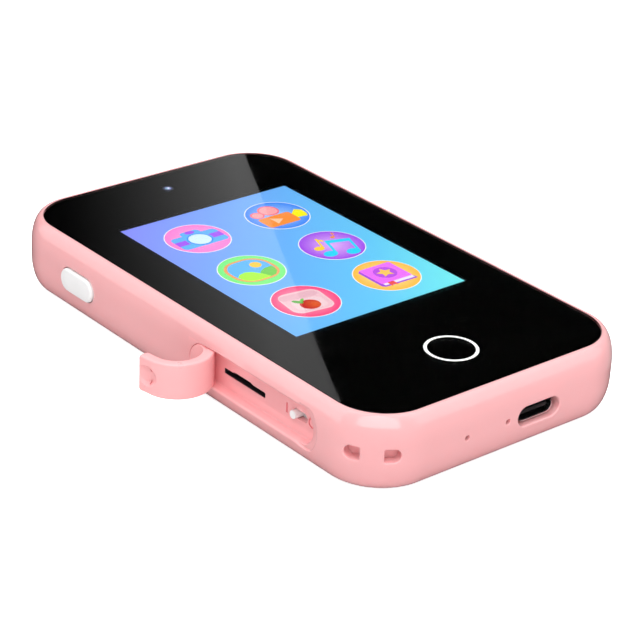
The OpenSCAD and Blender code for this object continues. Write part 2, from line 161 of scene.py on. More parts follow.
def moulded_shade(name, color, rough, grain=9.0, depth=0.012, wave=0.03, **sockets):
    """Moulded plastic: fine spark-eroded grain, faint flow tone and handled patches."""
    made = Shade(name, color, rough, **sockets)
    made.vary(0.045, 0.018)
    made.roughen(0.35, min(0.06, rough * 0.25))
    made.bump(made.noise(grain, 2), 0.22, depth)
    made.bump(made.noise(0.12, 2), 0.10, wave)
    return made


def moulded(*settings, **sockets):
    return moulded_shade(*settings, **sockets).mat


def paint_cavity_light(made, low, high, surface, deep, level=1.0, round_from=None):
    """Painted light: an emission that grows with depth below a surface, in one box, in place of bounce light
    in the plastic's hollows.

    Depth runs along X, or towards the upright axis at round_from."""
    where = made.node("ShaderNodeSeparateXYZ", {"Vector": made.place()}).outputs
    at = where[0]
    if round_from is not None:
        off = made.node("ShaderNodeVectorMath", {0: made.place(), 1: (*round_from, 0)}, operation="SUBTRACT")
        flat = made.node("ShaderNodeVectorMath", {0: off.outputs[0], 1: (1, 1, 0)}, operation="MULTIPLY")
        at = made.node("ShaderNodeVectorMath", {0: flat.outputs[0]}, operation="LENGTH").outputs["Value"]
    depth = made.node("ShaderNodeMapRange", {"Value": at, "From Min": surface, "From Max": deep},
                      interpolation_type="SMOOTHSTEP").outputs[0]
    for i in range(3):
        middle, half = (low[i] + high[i]) / 2, (high[i] - low[i]) / 2
        near = made.node("ShaderNodeMath", {0: where[i], 1: middle, 2: half}, operation="COMPARE").outputs[0]
        depth = made.node("ShaderNodeMath", {0: depth, 1: near}, operation="MULTIPLY").outputs[0]
    depth = made.node("ShaderNodeMath", {0: depth, 1: level}, operation="MULTIPLY").outputs[0]
    last = made.bsdf.inputs["Emission Strength"].links
    if last:
        both = {0: depth, 1: last[0].from_socket}
        depth = made.node("ShaderNodeMath", both, operation="MAXIMUM").outputs[0]
    made.set("Emission Strength", depth)


def metal(name, color, rough, grain=(1, 1, 1)):
    """Metal with fine drawn lines along one way."""
    made = Shade(name, color, rough, Metallic=1.0)
    made.vary(0.4, 0.06, stretch=grain)
    made.roughen(2.5, 0.08, stretch=grain)
    made.bump(made.noise(6, 3, grain), 0.12, 0.01)
    return made.mat


def lit(name, color, strength=1.0, rim=None, radius=1.0, centre=(0, 0)):
    """A printed or lit picture colour; rim is the tone at the given radius from centre."""
    made = Shade(name, color, 0.5)
    made.bsdf.inputs["Base Color"].default_value = (0.0, 0.0, 0.0, 1)
    made.bsdf.inputs["Emission Color"].default_value = (*color, 1)
    made.bsdf.inputs["Emission Strength"].default_value = strength
    tone = (*color, 1)
    if rim is not None:
        where = made.node("ShaderNodeTexCoord").outputs["Object"]
        shifted = made.node("ShaderNodeMapping", {"Vector": where})
        shifted.inputs["Location"].default_value = (-centre[0] / radius, -centre[1] / radius, 0)
        shifted.inputs["Scale"].default_value = (1 / radius / MM, 1 / radius / MM, 0)
        ball = made.node("ShaderNodeTexGradient", {"Vector": shifted.outputs[0]},
                         gradient_type="SPHERICAL")
        tone = made.mix(ball.outputs["Fac"], (*rim, 1), (*color, 1))
    grid = made.noise(7.0, 1)
    dots = made.ramp(grid, 0.985, 1.015)
    made.set("Emission Color", made.mix(1.0, tone, dots, "MULTIPLY"))
    return made.mat


PINK = (0.925, 0.458, 0.470)
SOFT = {"Subsurface_Weight": 0.15, "Subsurface_Radius": (1.0, 0.30, 0.30), "Subsurface_Scale": 0.0012}

# ---------------------------------------------------------------- mesh building

def new_piece(name, verts_mm, faces, mat, slot, body="phone", smooth_angle=35.0, weighted=True):
    """A mesh piece from millimetre points; it rides on a body and keeps fair normals."""
    mesh = bpy.data.meshes.new(name)
    mesh.from_pydata([tuple(c * MM for c in v) for v in verts_mm], [], faces)
    made = bpy.data.objects.new(name, mesh)
    bpy.context.scene.collection.objects.link(made)
    clean_mesh(made)
    return dress(made, mat, body, smooth_angle, weighted)


def clean_mesh(obj, merge=0.002):
    work = bmesh.new()
    work.from_mesh(obj.data)
    bmesh.ops.remove_doubles(work, verts=work.verts, dist=merge * MM)
    bmesh.ops.dissolve_degenerate(work, edges=work.edges, dist=merge * MM * 0.5)
    bmesh.ops.recalc_face_normals(work, faces=work.faces)
    work.to_mesh(obj.data)
    work.free()


def dress(obj, mat, body="phone", smooth_angle=35.0, weighted=True):
    obj.data.materials.clear()
    obj.data.materials.append(mat)
    smooth(obj, smooth_angle, weighted)
    if body:
        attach(obj, body)
    return obj


def smooth(obj, angle=35.0, weighted=True):
    """Smooth faces, with edges sharper than angle kept crisp."""
    mesh = obj.data
    for poly in mesh.polygons:
        poly.use_smooth = True
    work = bmesh.new()
    work.from_mesh(mesh)
    for edge in work.edges:
        sharp = len(edge.link_faces) == 2 and edge.calc_face_angle() > math.radians(angle)
        edge.smooth = not sharp
    work.to_mesh(mesh)
    work.free()
    if weighted:
        fair = obj.modifiers.new("fair normals", "WEIGHTED_NORMAL")
        fair.keep_sharp = True
        fair.weight = 80


class Build:
    """Collects points and faces in millimetres."""

    def __init__(self):
        self.verts, self.faces = [], []

    def add(self, points):
        start = len(self.verts)
        self.verts.extend([tuple(p) for p in points])
        return list(range(start, len(self.verts)))

    def band(self, a, b, closed=True):
        """Quads between two loops of the same length."""
        n = len(a)
        for i in range(n if closed else n - 1):
            j = (i + 1) % n
            self.faces.append((a[i], a[j], b[j], b[i]))

    def fan(self, loop, centre):
        middle = self.add([centre])[0]
        for i, v in enumerate(loop):
            self.faces.append((v, loop[(i + 1) % len(loop)], middle))

    def fill(self, *loops):
        """Flat fill between an outer loop and any holes in it."""
        work = bmesh.new()
        made, edges = {}, []
        for loop in loops:
            for v in loop:
                made[work.verts.new(self.verts[v])] = v
            corner = list(made)[-len(loop):]
            edges += [work.edges.new((corner[i], corner[(i + 1) % len(loop)])) for i in range(len(loop))]
        done = bmesh.ops.triangle_fill(work, use_beauty=True, use_dissolve=False, edges=edges)
        for face in done["geom"]:
            if isinstance(face, bmesh.types.BMFace):
                self.faces.append(tuple(made[v] for v in face.verts))
        work.free()

    def piece(self, name, *args, **settings):
        return new_piece(name, self.verts, self.faces, *args, **settings)


def stadium_gap(p, length, height):
    """Signed distance from points p to a bar with half-round ends."""
    r = height / 2
    foot = np.clip(p[:, 0], -(length - height) / 2, (length - height) / 2)
    return np.hypot(p[:, 0] - foot, p[:, 1]) - r


def round_box_gap(p, low, high, r):
    centre = (np.array(low) + high) / 2
    half = (np.array(high) - low) / 2 - r
    q = np.abs(p - centre) - half
    return np.hypot(*np.maximum(q, 0).T) + np.minimum(q.max(1), 0) - r


class Outline:
    """The outline of one opening: a gap function, and the spine that its rays start from."""

    def __init__(self, gap, spine, reach):
        self.gap, self.spine, self.reach = gap, spine, reach

    def points(self, towards, offset):
        """Where rays from the spine towards the given points meet the outline grown by offset."""
        start = np.clip(towards, self.spine[0], self.spine[1])
        ray = towards - start
        ray /= np.linalg.norm(ray, axis=1)[:, None]
        low, high = np.zeros(len(ray)), np.full(len(ray), self.reach)
        for _ in range(40):
            middle = (low + high) / 2
            inside = self.gap(start + ray * middle[:, None]) < offset
            low, high = np.where(inside, middle, low), np.where(inside, high, middle)
        return start + ray * low[:, None]


def stadium_outline(length, height):
    spine = (length - height) / 2 - 0.02
    return Outline(lambda p: stadium_gap(p, length, height),
                   (np.array([-spine, 0.0]), np.array([spine, 0.0])), length)


def circle_outline(r):
    point = np.array([0.0, 0.0])
    return Outline(lambda p: np.hypot(*p.T) - r, (point, point), 4 * r + 2)


# ---------------------------------------------------------------- the housing
# The edge section is swept round the plan. A station is a point on the line of corner
# centres with the direction out of it; a level is a radius from there and a height.

def front_radius(z):
    """Radius of the outer surface at height z."""
    if z > TOP - FRONT_DROP:
        return CORNER - FRONT_ROLL * (1 - math.sqrt(max(0, 1 - ((z - TOP + FRONT_DROP) / FRONT_DROP) ** 2)))
    if z < BACK_RISE:
        return CORNER - BACK_ROLL * (1 - math.sqrt(max(0, 1 - ((BACK_RISE - z) / BACK_RISE) ** 2)))
    return CORNER


SPAN_X, SPAN_Y = HALF_W - CORNER, HALF_L - CORNER
CORNERS = [(-SPAN_X, -SPAN_Y), (SPAN_X, -SPAN_Y), (SPAN_X, SPAN_Y), (-SPAN_X, SPAN_Y)]


def steps(a, b, size):
    n = max(1, round(abs(b - a) / size))
    return [a + (b - a) * i / n for i in range(n)]


def stations():
    """Stations anticlockwise from the top of the left side, each as centre x, y and angle."""
    made = []
    windows = {
        0: [(SPAN_Y, 40.3, 2.2), (40.3, 25.1, 0.7), (25.1, -3.2, 2.4), (-3.2, -45.2, 0.62),
            (-45.2, -SPAN_Y, 0.6)],
        1: [(-SPAN_X, -12.2, 2.0), (-12.2, -9.6, 0.32), (-9.6, -2.0, 1.5), (-2.0, 0.5, 0.32),
            (0.5, 14.0, 0.45), (14.0, SPAN_X, 2.2)],
        2: [(-SPAN_Y, SPAN_Y, 2.6)],
        3: [(SPAN_X, -SPAN_X, 2.6)],
    }
    for side in range(4):
        angle = 180 + 90 * side
        for a, b, size in windows[side]:
            for t in steps(a, b, size):
                made.append((*((-SPAN_X, t), (t, -SPAN_Y), (SPAN_X, t), (t, SPAN_Y))[side], angle))
        size = 1.5 if side == 0 else 3.0
        for t in steps(0, 90, size):
            made.append((*CORNERS[side], angle + t))
    return np.array(made)


STATIONS = stations()


def way_out(angle):
    return np.array([math.cos(math.radians(angle)), math.sin(math.radians(angle))])


def ring(radius, z):
    """One full loop of the plan at a radius and height."""
    return [(x + radius * way_out(a)[0], y + radius * way_out(a)[1], z) for x, y, a in STATIONS]


BAND = (3.1, 12.1)
BAND_LEVELS = list(np.linspace(BAND[1], BAND[0], 19))


def outer_levels():
    """(radius, height) down the outside, from the rim bead to the underside."""
    bead = (TOP - 0.1, CORNER - FRONT_ROLL - 0.1)
    made = [(bead[1] + 0.1 * math.sin(t), bead[0] + 0.1 * math.cos(t))
            for t in np.radians([-90, -60, -30, 0, 30, 60])]
    n = 26
    for i in range(n, 0, -1):
        z = TOP - FRONT_DROP * (1 - math.sin(math.pi / 2 * i / n)) - 0.06
        if z > BAND[1] + 0.12:
            made.append((front_radius(z), z))
    made += [(front_radius(z), z) for z in BAND_LEVELS]
    for i in range(1, n + 1):
        z = BACK_RISE * (1 - math.sin(math.pi / 2 * i / n))
        if z < BAND[0] - 0.1:
            made.append((front_radius(z), z))
    return made


def column_range(side, a, b):
    """Stations of one face whose place lies between a and b, in the order of travel."""
    found = []
    for i, (x, y, angle) in enumerate(STATIONS):
        if side == 0 and angle == 180 and x == -SPAN_X:
            t = y
        elif side == 1 and angle == 270 and y == -SPAN_Y:
            t = x
        elif side == "corner" and 180 < angle < 270:
            t = math.radians(angle - 180) * CORNER
        else:
            continue
        if min(a, b) - 1e-6 <= t <= max(a, b) + 1e-6:
            found.append((i, t))
    return found


def wall_point(side, t, z, radius):
    if side == 0:
        return (-SPAN_X - radius, t, z)
    if side == 1:
        return (t, -SPAN_Y - radius, z)
    angle = math.pi + t / CORNER
    return (-SPAN_X + radius * math.cos(angle), -SPAN_Y + radius * math.sin(angle), z)


class Opening:
    """A patch of the wall's grid with one opening in it."""

    def __init__(self, side, centre, outline, window, levels=(0, len(BAND_LEVELS) - 1), flip=False):
        self.side, self.centre, self.outline = side, np.array(centre), outline
        self.columns = column_range(side, *window)
        self.levels = levels
        self.skip = {(i, k) for i, _ in self.columns[:-1] for k in range(*levels)}
        if flip:
            self.columns.reverse()

    def border(self, grid):
        """The patch's edge as grid vertices and as places on the wall."""
        first, last = self.levels
        cols = self.columns
        cells = [(cols[0], k) for k in range(first, last)]
        cells += [(c, last) for c in cols[:-1]]
        cells += [(cols[-1], k) for k in range(last, first, -1)]
        cells += [(c, first) for c in cols[:0:-1]]
        ids = [grid[k][c[0]] for c, k in cells]
        places = np.array([(c[1], BAND_LEVELS[k]) for c, k in cells])
        return ids, places

    def loop(self, build, places, offset, depth=0.0, radius=None, skin=front_radius):
        """A loop round the outline; depth is below the wall's own surface, or radius is fixed."""
        at = self.outline.points(places - self.centre, offset) + self.centre
        depths = np.broadcast_to(depth, len(at))
        points = [wall_point(self.side, t, z, (skin(z) if radius is None else radius) - d)
                  for (t, z), d in zip(at, depths)]
        return build.add(points)


FILLET = np.radians([0, 18, 36, 54, 72, 90])


def mouth(build, opening, grid, fillet, skin=front_radius, ledge=0.0):
    """Bands from the grid to the start of the opening's wall. Returns the last loop and places.

    A ledge sets the lip back from the wall by its width."""
    ids, places = opening.border(grid)
    out = opening.outline.points(places - opening.centre, ledge + fillet) + opening.centre
    last = ids
    for share in (0.35, 0.7):
        mid = places * (1 - share) + out * share
        loop = build.add([wall_point(opening.side, t, z, skin(z)) for t, z in mid])
        build.band(last, loop)
        last = loop
    for turn in FILLET:
        offset, depth = ledge + fillet * (1 - math.sin(turn)), fillet * (1 - math.cos(turn))
        loop = opening.loop(build, places, offset, depth, skin=skin)
        build.band(last, loop)
        last = loop
    for share, drop in ((0.18, 0.08), (0.06, 0.16), (0.0, 0.30)) if np.any(ledge) else ():
        loop = opening.loop(build, places, ledge * share, fillet + drop, skin=skin)
        build.band(last, loop)
        last = loop
    return last, places


FLOOR_R = 31.35 - SPAN_X       # radius of the recess floor
SHELF_R = FLOOR_R - 1.4        # and of the wall's inner face behind it
RECESS_Z, RECESS_H = 7.65, 7.6
RECESS_Y = (-5.3, -42.0)
ROOT_TOP = -5.4
PEG_Y, SWITCH_TRAVEL = -34.7, 2.2
KEY_LOW, KEY_HIGH = box_mm("power_button")
PORT_LOW, PORT_HIGH = box_mm("usb_shell")
PORT_X = (PORT_LOW[0] + PORT_HIGH[0]) / 2
PORT_Z = PORT_HIGH[2] - 1.58
KEY_Y = (KEY_LOW[1] + KEY_HIGH[1]) / 2
KEY_Z = (KEY_LOW[2] + KEY_HIGH[2]) / 2
MIC_X, MIC_Z = -0.75, 7.0
RESET_X, RESET_Z = -10.9, 6.9
LOOP_Z = 7.7


def inner_radius(_z):
    return CORNER - WALL


def shelf_radius(_z):
    return SHELF_R


def d_outline(hand):
    """One mouth of the cord loop: round at its outer end, square towards its partner."""
    def gap(p):
        q = p * np.array([hand, 1])
        disc = np.hypot(q[:, 0] + 0.21, q[:, 1]) - 1.35
        block = round_box_gap(q, (-0.61, -1.35), (1.56, 1.35), 0.4)
        return np.minimum(disc, block)
    return Outline(gap, (np.array([-0.15, 0.0]), np.array([0.15, 0.0])), 8.0)


def card_outline():
    """The card slot: a thin bar with square ends and a shallow arched notch on its top edge."""
    y_span, z_span = (-25.5, -13.05), (6.55, 7.73)
    centre = (sum(y_span) / 2, sum(z_span) / 2)
    half = np.array([(y_span[1] - y_span[0]) / 2, (z_span[1] - z_span[0]) / 2])

    def gap(p):
        bar = round_box_gap(p, -half, half, 0.12)
        arch = round_box_gap(p, (-half[0] + 4.2, -0.4), (half[0] - 3.0, half[1] + 0.25), 0.24)
        return np.minimum(bar, arch)
    spine = half[0] - 0.45
    return centre, Outline(gap, (np.array([-spine, 0.0]), np.array([spine, 0.0])), 8.0)


def cord_tunnel(build, left, left_places, right, right_places, first, last):
    """The way behind the bar: sections turn round the bar's inner edges from mouth to mouth."""
    inner_r, squeeze = 11.0, 2.4 / 3.13
    angles = (213.3, 233.2)
    sections = [(angles[0], t, 1 - (1 - squeeze) * (t - 90) / 90) for t in np.linspace(90, 180, 11)]
    sections += [(a, 180, squeeze) for a in np.linspace(*angles, 6)[1:]]
    sections += [(angles[1], t, squeeze + (1 - squeeze) * (t - 180) / 90)
                 for t in np.linspace(180, 270, 11)[1:]]
    a = left.outline.points(left_places - left.centre, 0.0)
    b = right.outline.points(right_places - right.centre, 0.0) * np.array([-1, 1])
    loop = first
    for i, (angle, turn, scale) in enumerate(sections):
        share = i / (len(sections) - 1)
        at = a * (1 - share) + b * share
        start = np.array(CORNERS[0]) + inner_r * way_out(angle)
        points = []
        for u, z in at:
            x, y = start + (1.56 - u) * scale * way_out(angle - turn)
            points.append((x, y, LOOP_Z + z))
        new = build.add(points)
        build.band(loop, new)
        loop = new
    build.band(loop, last)


def flat_loop(build, points, radius):
    """A loop on the plane of the recess, from places (y, z)."""
    return build.add([wall_point(0, y, z, radius) for y, z in points])


def engrave(build, outline_points, depth=0.15, island=None):
    """A shallow mark in the recess floor. Returns its edge loop; an island stays at floor level."""
    edge = flat_loop(build, outline_points, FLOOR_R)
    low = flat_loop(build, outline_points, FLOOR_R - depth)
    build.band(edge, low)
    if island is None:
        build.fill(low)
    else:
        low_in = flat_loop(build, island, FLOOR_R - depth)
        top_in = flat_loop(build, island, FLOOR_R)
        build.band(low, low_in)
        build.band(low_in, top_in)
        build.fill(top_in)
    return edge


RING_Y = -39.3       # the mark at the slide switch's other end


# The marks on the recess floor: a bar from one corner to the other, and a ring's two radii
BAR_LOW, BAR_HIGH = (-32.2, 6.65), (-31.75, 8.65)
RING_OUTER, RING_INNER = 1.1, 0.72


def make_housing(mat, mark_shade_mat):
    build = Build()

    def add_ring(radius, z):
        return build.add(ring(radius, z))

    recess_columns = {i for i, _ in column_range(0, -3.2, -45.2)}

    def add_inner(z):
        points = []
        for i, (x, y, angle) in enumerate(STATIONS):
            out = way_out(angle) * (SHELF_R if i in recess_columns else CORNER - WALL)
            points.append((x + out[0], y + out[1], z))
        return build.add(points)

    outer = [add_ring(r, z) for r, z in outer_levels()]
    first_band = next(i for i, (r, z) in enumerate(outer_levels()) if abs(z - BAND_LEVELS[0]) < 1e-9)
    outer_grid = outer[first_band:first_band + len(BAND_LEVELS)]
    seat = CORNER - 4.15
    under = [(seat + 0.15, 0), (seat + 0.04, 0.04), (seat, 0.15), (seat, 1.6),
             (seat - 1, 1.6), (seat - 1, 2.8)]
    under = [add_ring(r, z) for r, z in under]
    inner_grid = [add_inner(z) for z in BAND_LEVELS]
    inner = [add_inner(2.8)] + inner_grid[::-1] + [add_inner(CAVITY_TOP)]
    lip = CORNER - GLASS_IN - 4
    front = [(lip, CAVITY_TOP), (lip, LEDGE_Z), (CORNER - GLASS_IN + 0.05, LEDGE_Z)]
    front = [add_ring(r, z) for r, z in front]

    # the openings: on the outside, and on the inside where they go through
    recess = Opening(0, (sum(RECESS_Y) / 2, RECESS_Z),
                     stadium_outline(RECESS_Y[0] - RECESS_Y[1], RECESS_H), (-3.2, -45.2))
    key = Opening(0, (KEY_Y, KEY_Z), stadium_outline(11.4, 5.3), (25.1, 40.3), (2, 16))
    port = Opening(1, (PORT_X, PORT_Z), stadium_outline(10.6, 4.1), (0.5, 14.0), (3, 17))
    mic = Opening(1, (MIC_X, MIC_Z), circle_outline(0.55), (-2.0, 0.5), (8, 13))
    reset = Opening(1, (RESET_X, RESET_Z), circle_outline(0.55), (-12.2, -9.6), (8, 13))
    to_arc = CORNER * math.pi / 180
    mouth_a = Opening("corner", (26.3 * to_arc, LOOP_Z), d_outline(1), (13.5 * to_arc, 39 * to_arc), (3, 15))
    mouth_b = Opening("corner", (60.5 * to_arc, LOOP_Z), d_outline(-1),
                      (48 * to_arc, 73.5 * to_arc), (3, 15), flip=True)
    card_centre, card_shape = card_outline()
    card = Opening(0, card_centre, card_shape, (-27.4, -11.2), (8, 12))
    slot_centre = PEG_Y - SWITCH_TRAVEL / 2 - 0.02
    switch = Opening(0, (slot_centre, RECESS_Z), stadium_outline(4.18, 1.9), (-39.4, -32.2), (5, 13))

    skip_outer = recess.skip | key.skip | port.skip | mic.skip | reset.skip | mouth_a.skip | mouth_b.skip
    skip_inner = key.skip | port.skip | mic.skip | reset.skip | card.skip | switch.skip
    n = len(STATIONS)

    def skin(rings, start, skipped):
        for k in range(len(rings) - 1):
            for i in range(n):
                if (i, k - start) not in skipped:
                    j = (i + 1) % n
                    build.faces.append((rings[k][i], rings[k][j], rings[k + 1][j], rings[k + 1][i]))

    skin(outer, first_band, skip_outer)
    skin([outer[-1]] + under + [inner[0]], 0, set())
    skin(inner[:2], 0, set())
    skin(inner_grid, 0, skip_inner)
    skin([inner[-2], inner[-1]] + front + [outer[0]], 0, set())

    # through openings: filleted mouth, straight wall, inner edge
    for hole, fillet in ((key, 0.16), (port, 0.32), (mic, 0.12), (reset, 0.12)):
        edge, places = mouth(build, hole, outer_grid, fillet)
        inside, _ = mouth(build, hole, inner_grid, 0.01, skin=inner_radius)
        build.band(edge, inside)

    # the cord loop
    edge_a, places_a = mouth(build, mouth_a, outer_grid, 0.22)
    edge_b, places_b = mouth(build, mouth_b, outer_grid, 0.22)
    cord_tunnel(build, mouth_a, places_a, mouth_b, places_b, edge_a, edge_b)

    # the side recess: mouth, wall, soft foot, floor with its slots and marks
    _, places = recess.border(outer_grid)
    past_root = np.clip((ROOT_TOP - 3.8 - places[:, 0]) / 3, 0, 1)
    at_end = np.clip((RECESS_Y[1] + 4.5 - places[:, 0]) / 4.5, 0, 1)
    edge, places = mouth(build, recess, outer_grid, 0.12 + 0.36 * past_root - 0.16 * at_end,
                         ledge=1.35 * at_end)
    foot = 0.35
    for turn in FILLET:
        loop = recess.loop(build, places, -foot * (1 - math.cos(turn)),
                           radius=FLOOR_R + foot * (1 - math.sin(turn)))
        build.band(edge, loop)
        edge = loop
    edges = [edge]
    for hole, chamfer in ((card, 0.05), (switch, 0.06)):
        inside, places = mouth(build, hole, inner_grid, 0.01, skin=shelf_radius)
        neck = hole.loop(build, places, 0.0, radius=FLOOR_R - chamfer)
        rim = hole.loop(build, places, chamfer, radius=FLOOR_R)
        build.band(inside, neck)
        build.band(neck, rim)
        edges.append(rim)
    (y0, z0), (y1, z1) = BAR_LOW, BAR_HIGH
    edges.append(engrave(build, [(y0, z0), (y1, z0), (y1, z1), (y0, z1)]))
    circle = [(math.cos(t), math.sin(t)) for t in np.linspace(0, 2 * math.pi, 33)[:-1]]
    around, inside_ring = ([(RING_Y + r * c, RECESS_Z + r * s) for c, s in circle]
                           for r in (RING_OUTER, RING_INNER))
    edges.append(engrave(build, around, island=inside_ring))
    build.fill(*edges)
    piece = build.piece("case_shell", mat, "body_pink", smooth_angle=32)
    # The engraved marks' faces take a darker red tone: painted shade in their grooves.
    piece.data.materials.append(mark_shade_mat)
    for poly in piece.data.polygons:
        x, y, z = (c / MM for c in poly.center)
        if -SPAN_X - FLOOR_R + 0.01 < x < -SPAN_X - FLOOR_R + 0.16 and 6 < z < 9.3 \
                and (-32.3 < y < -31.7 or abs(y - RING_Y) < 1.12):
            poly.material_index = 1
    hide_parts("housing")
    return piece


# Painted light: the pink case glows red inside the side recess, along its root end and in the cord loop's
# mouths, brighter with depth, in place of bounce light in these hollows.
CAVITY_PAINTED_LIGHT = (0.09, 0.015, 0.018, 1)
pink = moulded_shade("case_pink", PINK, 0.38, grain=5, depth=0.0015, wave=0.01, Emission_Color=CAVITY_PAINTED_LIGHT,
                     Specular_IOR_Level=0.12, Coat_Weight=1.0, Coat_Roughness=0.02, Coat_IOR=2.0, **SOFT)
recess_low = (-33.95, RECESS_Y[1] - 1.6, RECESS_Z - 4.3)
recess_high = (-31, RECESS_Y[0] + 0.6, RECESS_Z + 4.3)
paint_cavity_light(pink, recess_low, recess_high, -33.75, -32.2)
paint_cavity_light(pink, (recess_low[0], -9.8, RECESS_Z - 3.95), (*recess_high[:2], RECESS_Z + 3.95),
            -33.84, -33.5, 1.3)
paint_cavity_light(pink, (-33.4, -58.4, LOOP_Z - 1.6), (-21.5, -46.0, LOOP_Z + 1.6), CORNER - 0.15, CORNER - 1.6,
            0.3, round_from=CORNERS[0])
pink_case = pink.mat
# the marks' darker red is painted shade in the engraved grooves
make_housing(pink_case, moulded("mark_pink", (0.84, 0.24, 0.26), 0.45, grain=5, depth=0.002))


# ---------------------------------------------------------------- the rubber flap
# One soft strip, cut halfway along each link, so that every piece spans one joint.

STRIP_X, STRIP_HALF = -32.65, 1.15
CURL_C, CURL_R = np.array([-38.1, -6.9]), 6.1
FIRST_TURN, TURN = 35.0, 27.2
TIP_LENGTH = 2.8
BEND_R = 2.5
BEND_C = np.array([STRIP_X - BEND_R,
                   CURL_C[1] - math.sqrt((CURL_R - BEND_R) ** 2 - (STRIP_X - BEND_R - CURL_C[0]) ** 2)])
STRIP_END = 3.7       # radius of the strip's round root end
EDGE_POINTS = 28      # the section's points that are not on its back


def strip_profile(dense=False, step=0.20, edge=0.28):
    """The strip's section as (across, up): a wide band towards the back, a lower one in front."""
    def corner(cx, cz, r, a, b, n=5):
        return [(cx + r * math.cos(t), cz + r * math.sin(t)) for t in np.radians(np.linspace(a, b, n))]
    half = corner(-STRIP_HALF + 0.35, 3.35, 0.35, 180, 90)
    half += corner(0.27, 3.64, 0.06, 90, 0, 3)
    half += [(0.36, 3.7 - step)]
    half += corner(STRIP_HALF - edge, 3.7 - step - edge, edge, 90, 0)
    lower = [(a, -b) for a, b in half[::-1]]
    back = [(-STRIP_HALF, z) for z in np.linspace(-3.35, 3.35, 68 if dense else 8)[1:-1]]
    return np.array(half + lower + back)


def strip_ring(profile, point, heading, height=1.0, inset=0.0):
    normal = way_out(heading - 90)
    made = []
    for across, up in profile:
        across *= 1 - inset / STRIP_HALF
        x, y = point + across * normal
        made.append((x, y, RECESS_Z + up * height * (1 - inset / STRIP_END)))
    return made


def root_rings(profile):
    snug = strip_profile(step=0.02, edge=0.10)
    made = []
    for t in np.radians([89, 84, 78, 71, 63, 54, 45, 36, 27, 18, 9, 0]):
        y = ROOT_TOP - STRIP_END + STRIP_END * math.sin(t)
        made.append(strip_ring(snug, np.array([STRIP_X, y]), -90, math.cos(t)))
    for t in np.linspace(0, 35, 14)[1:]:
        point = BEND_C + BEND_R * way_out(-t)
        share = t / 35
        made.append(strip_ring(snug * (1 - share) + profile * share, point, -90 - t))
    return made


SCOOP_R, SCOOP_LONG, SCOOP_BACK, SCOOP_DEPTH, TIP_CORNER = 2.2, 2.35, 2.0, 0.85, 0.4


def scooped(ring_points, profile, normal, s):
    """A ring with the fingernail scoop pressed into its back; s runs on from the strip's last arc."""
    moved = []
    for (x, y, z), (across, up) in zip(ring_points, profile):
        if across < -STRIP_HALF + 1e-6 and abs(up) < 3.3:
            from_tip = TIP_LENGTH - (0.0 if abs(s) < 0.06 else s)
            reach = math.hypot((from_tip - SCOOP_BACK) / SCOOP_LONG, up / SCOOP_R)
            wall = min(1.0, max(0.0, (1 - reach) / 0.36))
            floor = SCOOP_DEPTH * (1 - (1 - min(1.0, from_tip / 3.0)) ** 2)
            depth = floor * wall * wall * (3 - 2 * wall)
            x, y = x + normal[0] * depth, y + normal[1] * depth
        moved.append((x, y, z))
    return moved


def curl_rings(profile, number):
    start = -FIRST_TURN - TURN * (number - 1)
    fine = number == 5
    turns = [0, 0.4] + list(np.linspace(2, TURN - 2, 25 if fine else 9)) + [TURN - 0.4, TURN]
    made = []
    for t in turns:
        heading = start - t - 90
        loop = strip_ring(profile, CURL_C + CURL_R * way_out(start - t), heading)
        if fine:
            loop = scooped(loop, profile, way_out(heading - 90), -math.radians(TURN - t) * CURL_R)
        made.append(loop)
    return made


def tip_rings(profile):
    angle = -FIRST_TURN - TURN * 5
    point, heading = CURL_C + CURL_R * way_out(angle), angle - 90
    edge = 0.3
    places = [(0.0, 0.0), (0.04, 0.0)] + [(s, 0.0) for s in np.arange(0.12, TIP_LENGTH - edge, 0.1)]
    places += [(TIP_LENGTH - edge + edge * math.sin(t), edge * (1 - math.cos(t)))
               for t in np.radians([0, 25, 50, 75, 90])]
    rings = []
    for s, inset in places:
        past = max(0.0, s - TIP_LENGTH + TIP_CORNER)
        height = 0.86
        if inset < edge:
            height = 1 - (TIP_CORNER - math.sqrt(TIP_CORNER ** 2 - past ** 2)) / STRIP_END
        loop = strip_ring(profile, point + s * way_out(heading), heading, height, inset)
        rings.append(scooped(loop, profile, way_out(heading - 90), s))
    return rings


def strip_piece(name, rings, mat, body=None):
    build = Build()
    loops = [build.add(r) for r in rings]
    for a, b in zip(loops, loops[1:]):
        build.band(a, b)
    for loop in (loops[0], loops[-1]):
        build.fan(loop, np.mean([build.verts[v] for v in loop[:EDGE_POINTS]], axis=0))
    return build.piece(name, mat, "flap_rubber", body, smooth_angle=38, weighted=False)


def bend_between(piece, start, end, trims):
    way = (end - start) / np.linalg.norm(end - start)
    start, end = start + way * trims[0], end - way * trims[1]
    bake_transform(piece)


def make_flap(mat):
    profile = strip_profile()
    middles = [CURL_C + CURL_R * way_out(-FIRST_TURN - TURN * i) for i in range(6)]
    root = strip_piece("flap_bend_root", root_rings(profile), mat)
    bend_between(root, np.array([STRIP_X, BEND_C[1] + 0.6]), middles[0], (0.1, 0.5))
    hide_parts("flap_root", "flap_link_1")
    fine = strip_profile(dense=True)
    for i in range(1, 6):
        made = strip_piece("flap_bend_%d" % i, curl_rings(fine if i == 5 else profile, i), mat)
        bend_between(made, middles[i - 1], middles[i], (0.32, 0.32))
        if i > 1:
            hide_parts("flap_link_%d" % i)
    tip = strip_piece("flap_tip", tip_rings(fine), mat, "flap_6")
    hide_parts("flap_link_6")


rubber = moulded("flap_rubber", (0.96, 0.45, 0.46), 0.32, grain=6.0, depth=0.003, wave=0.01)
make_flap(rubber)


# ---------------------------------------------------------------- power key and switch peg

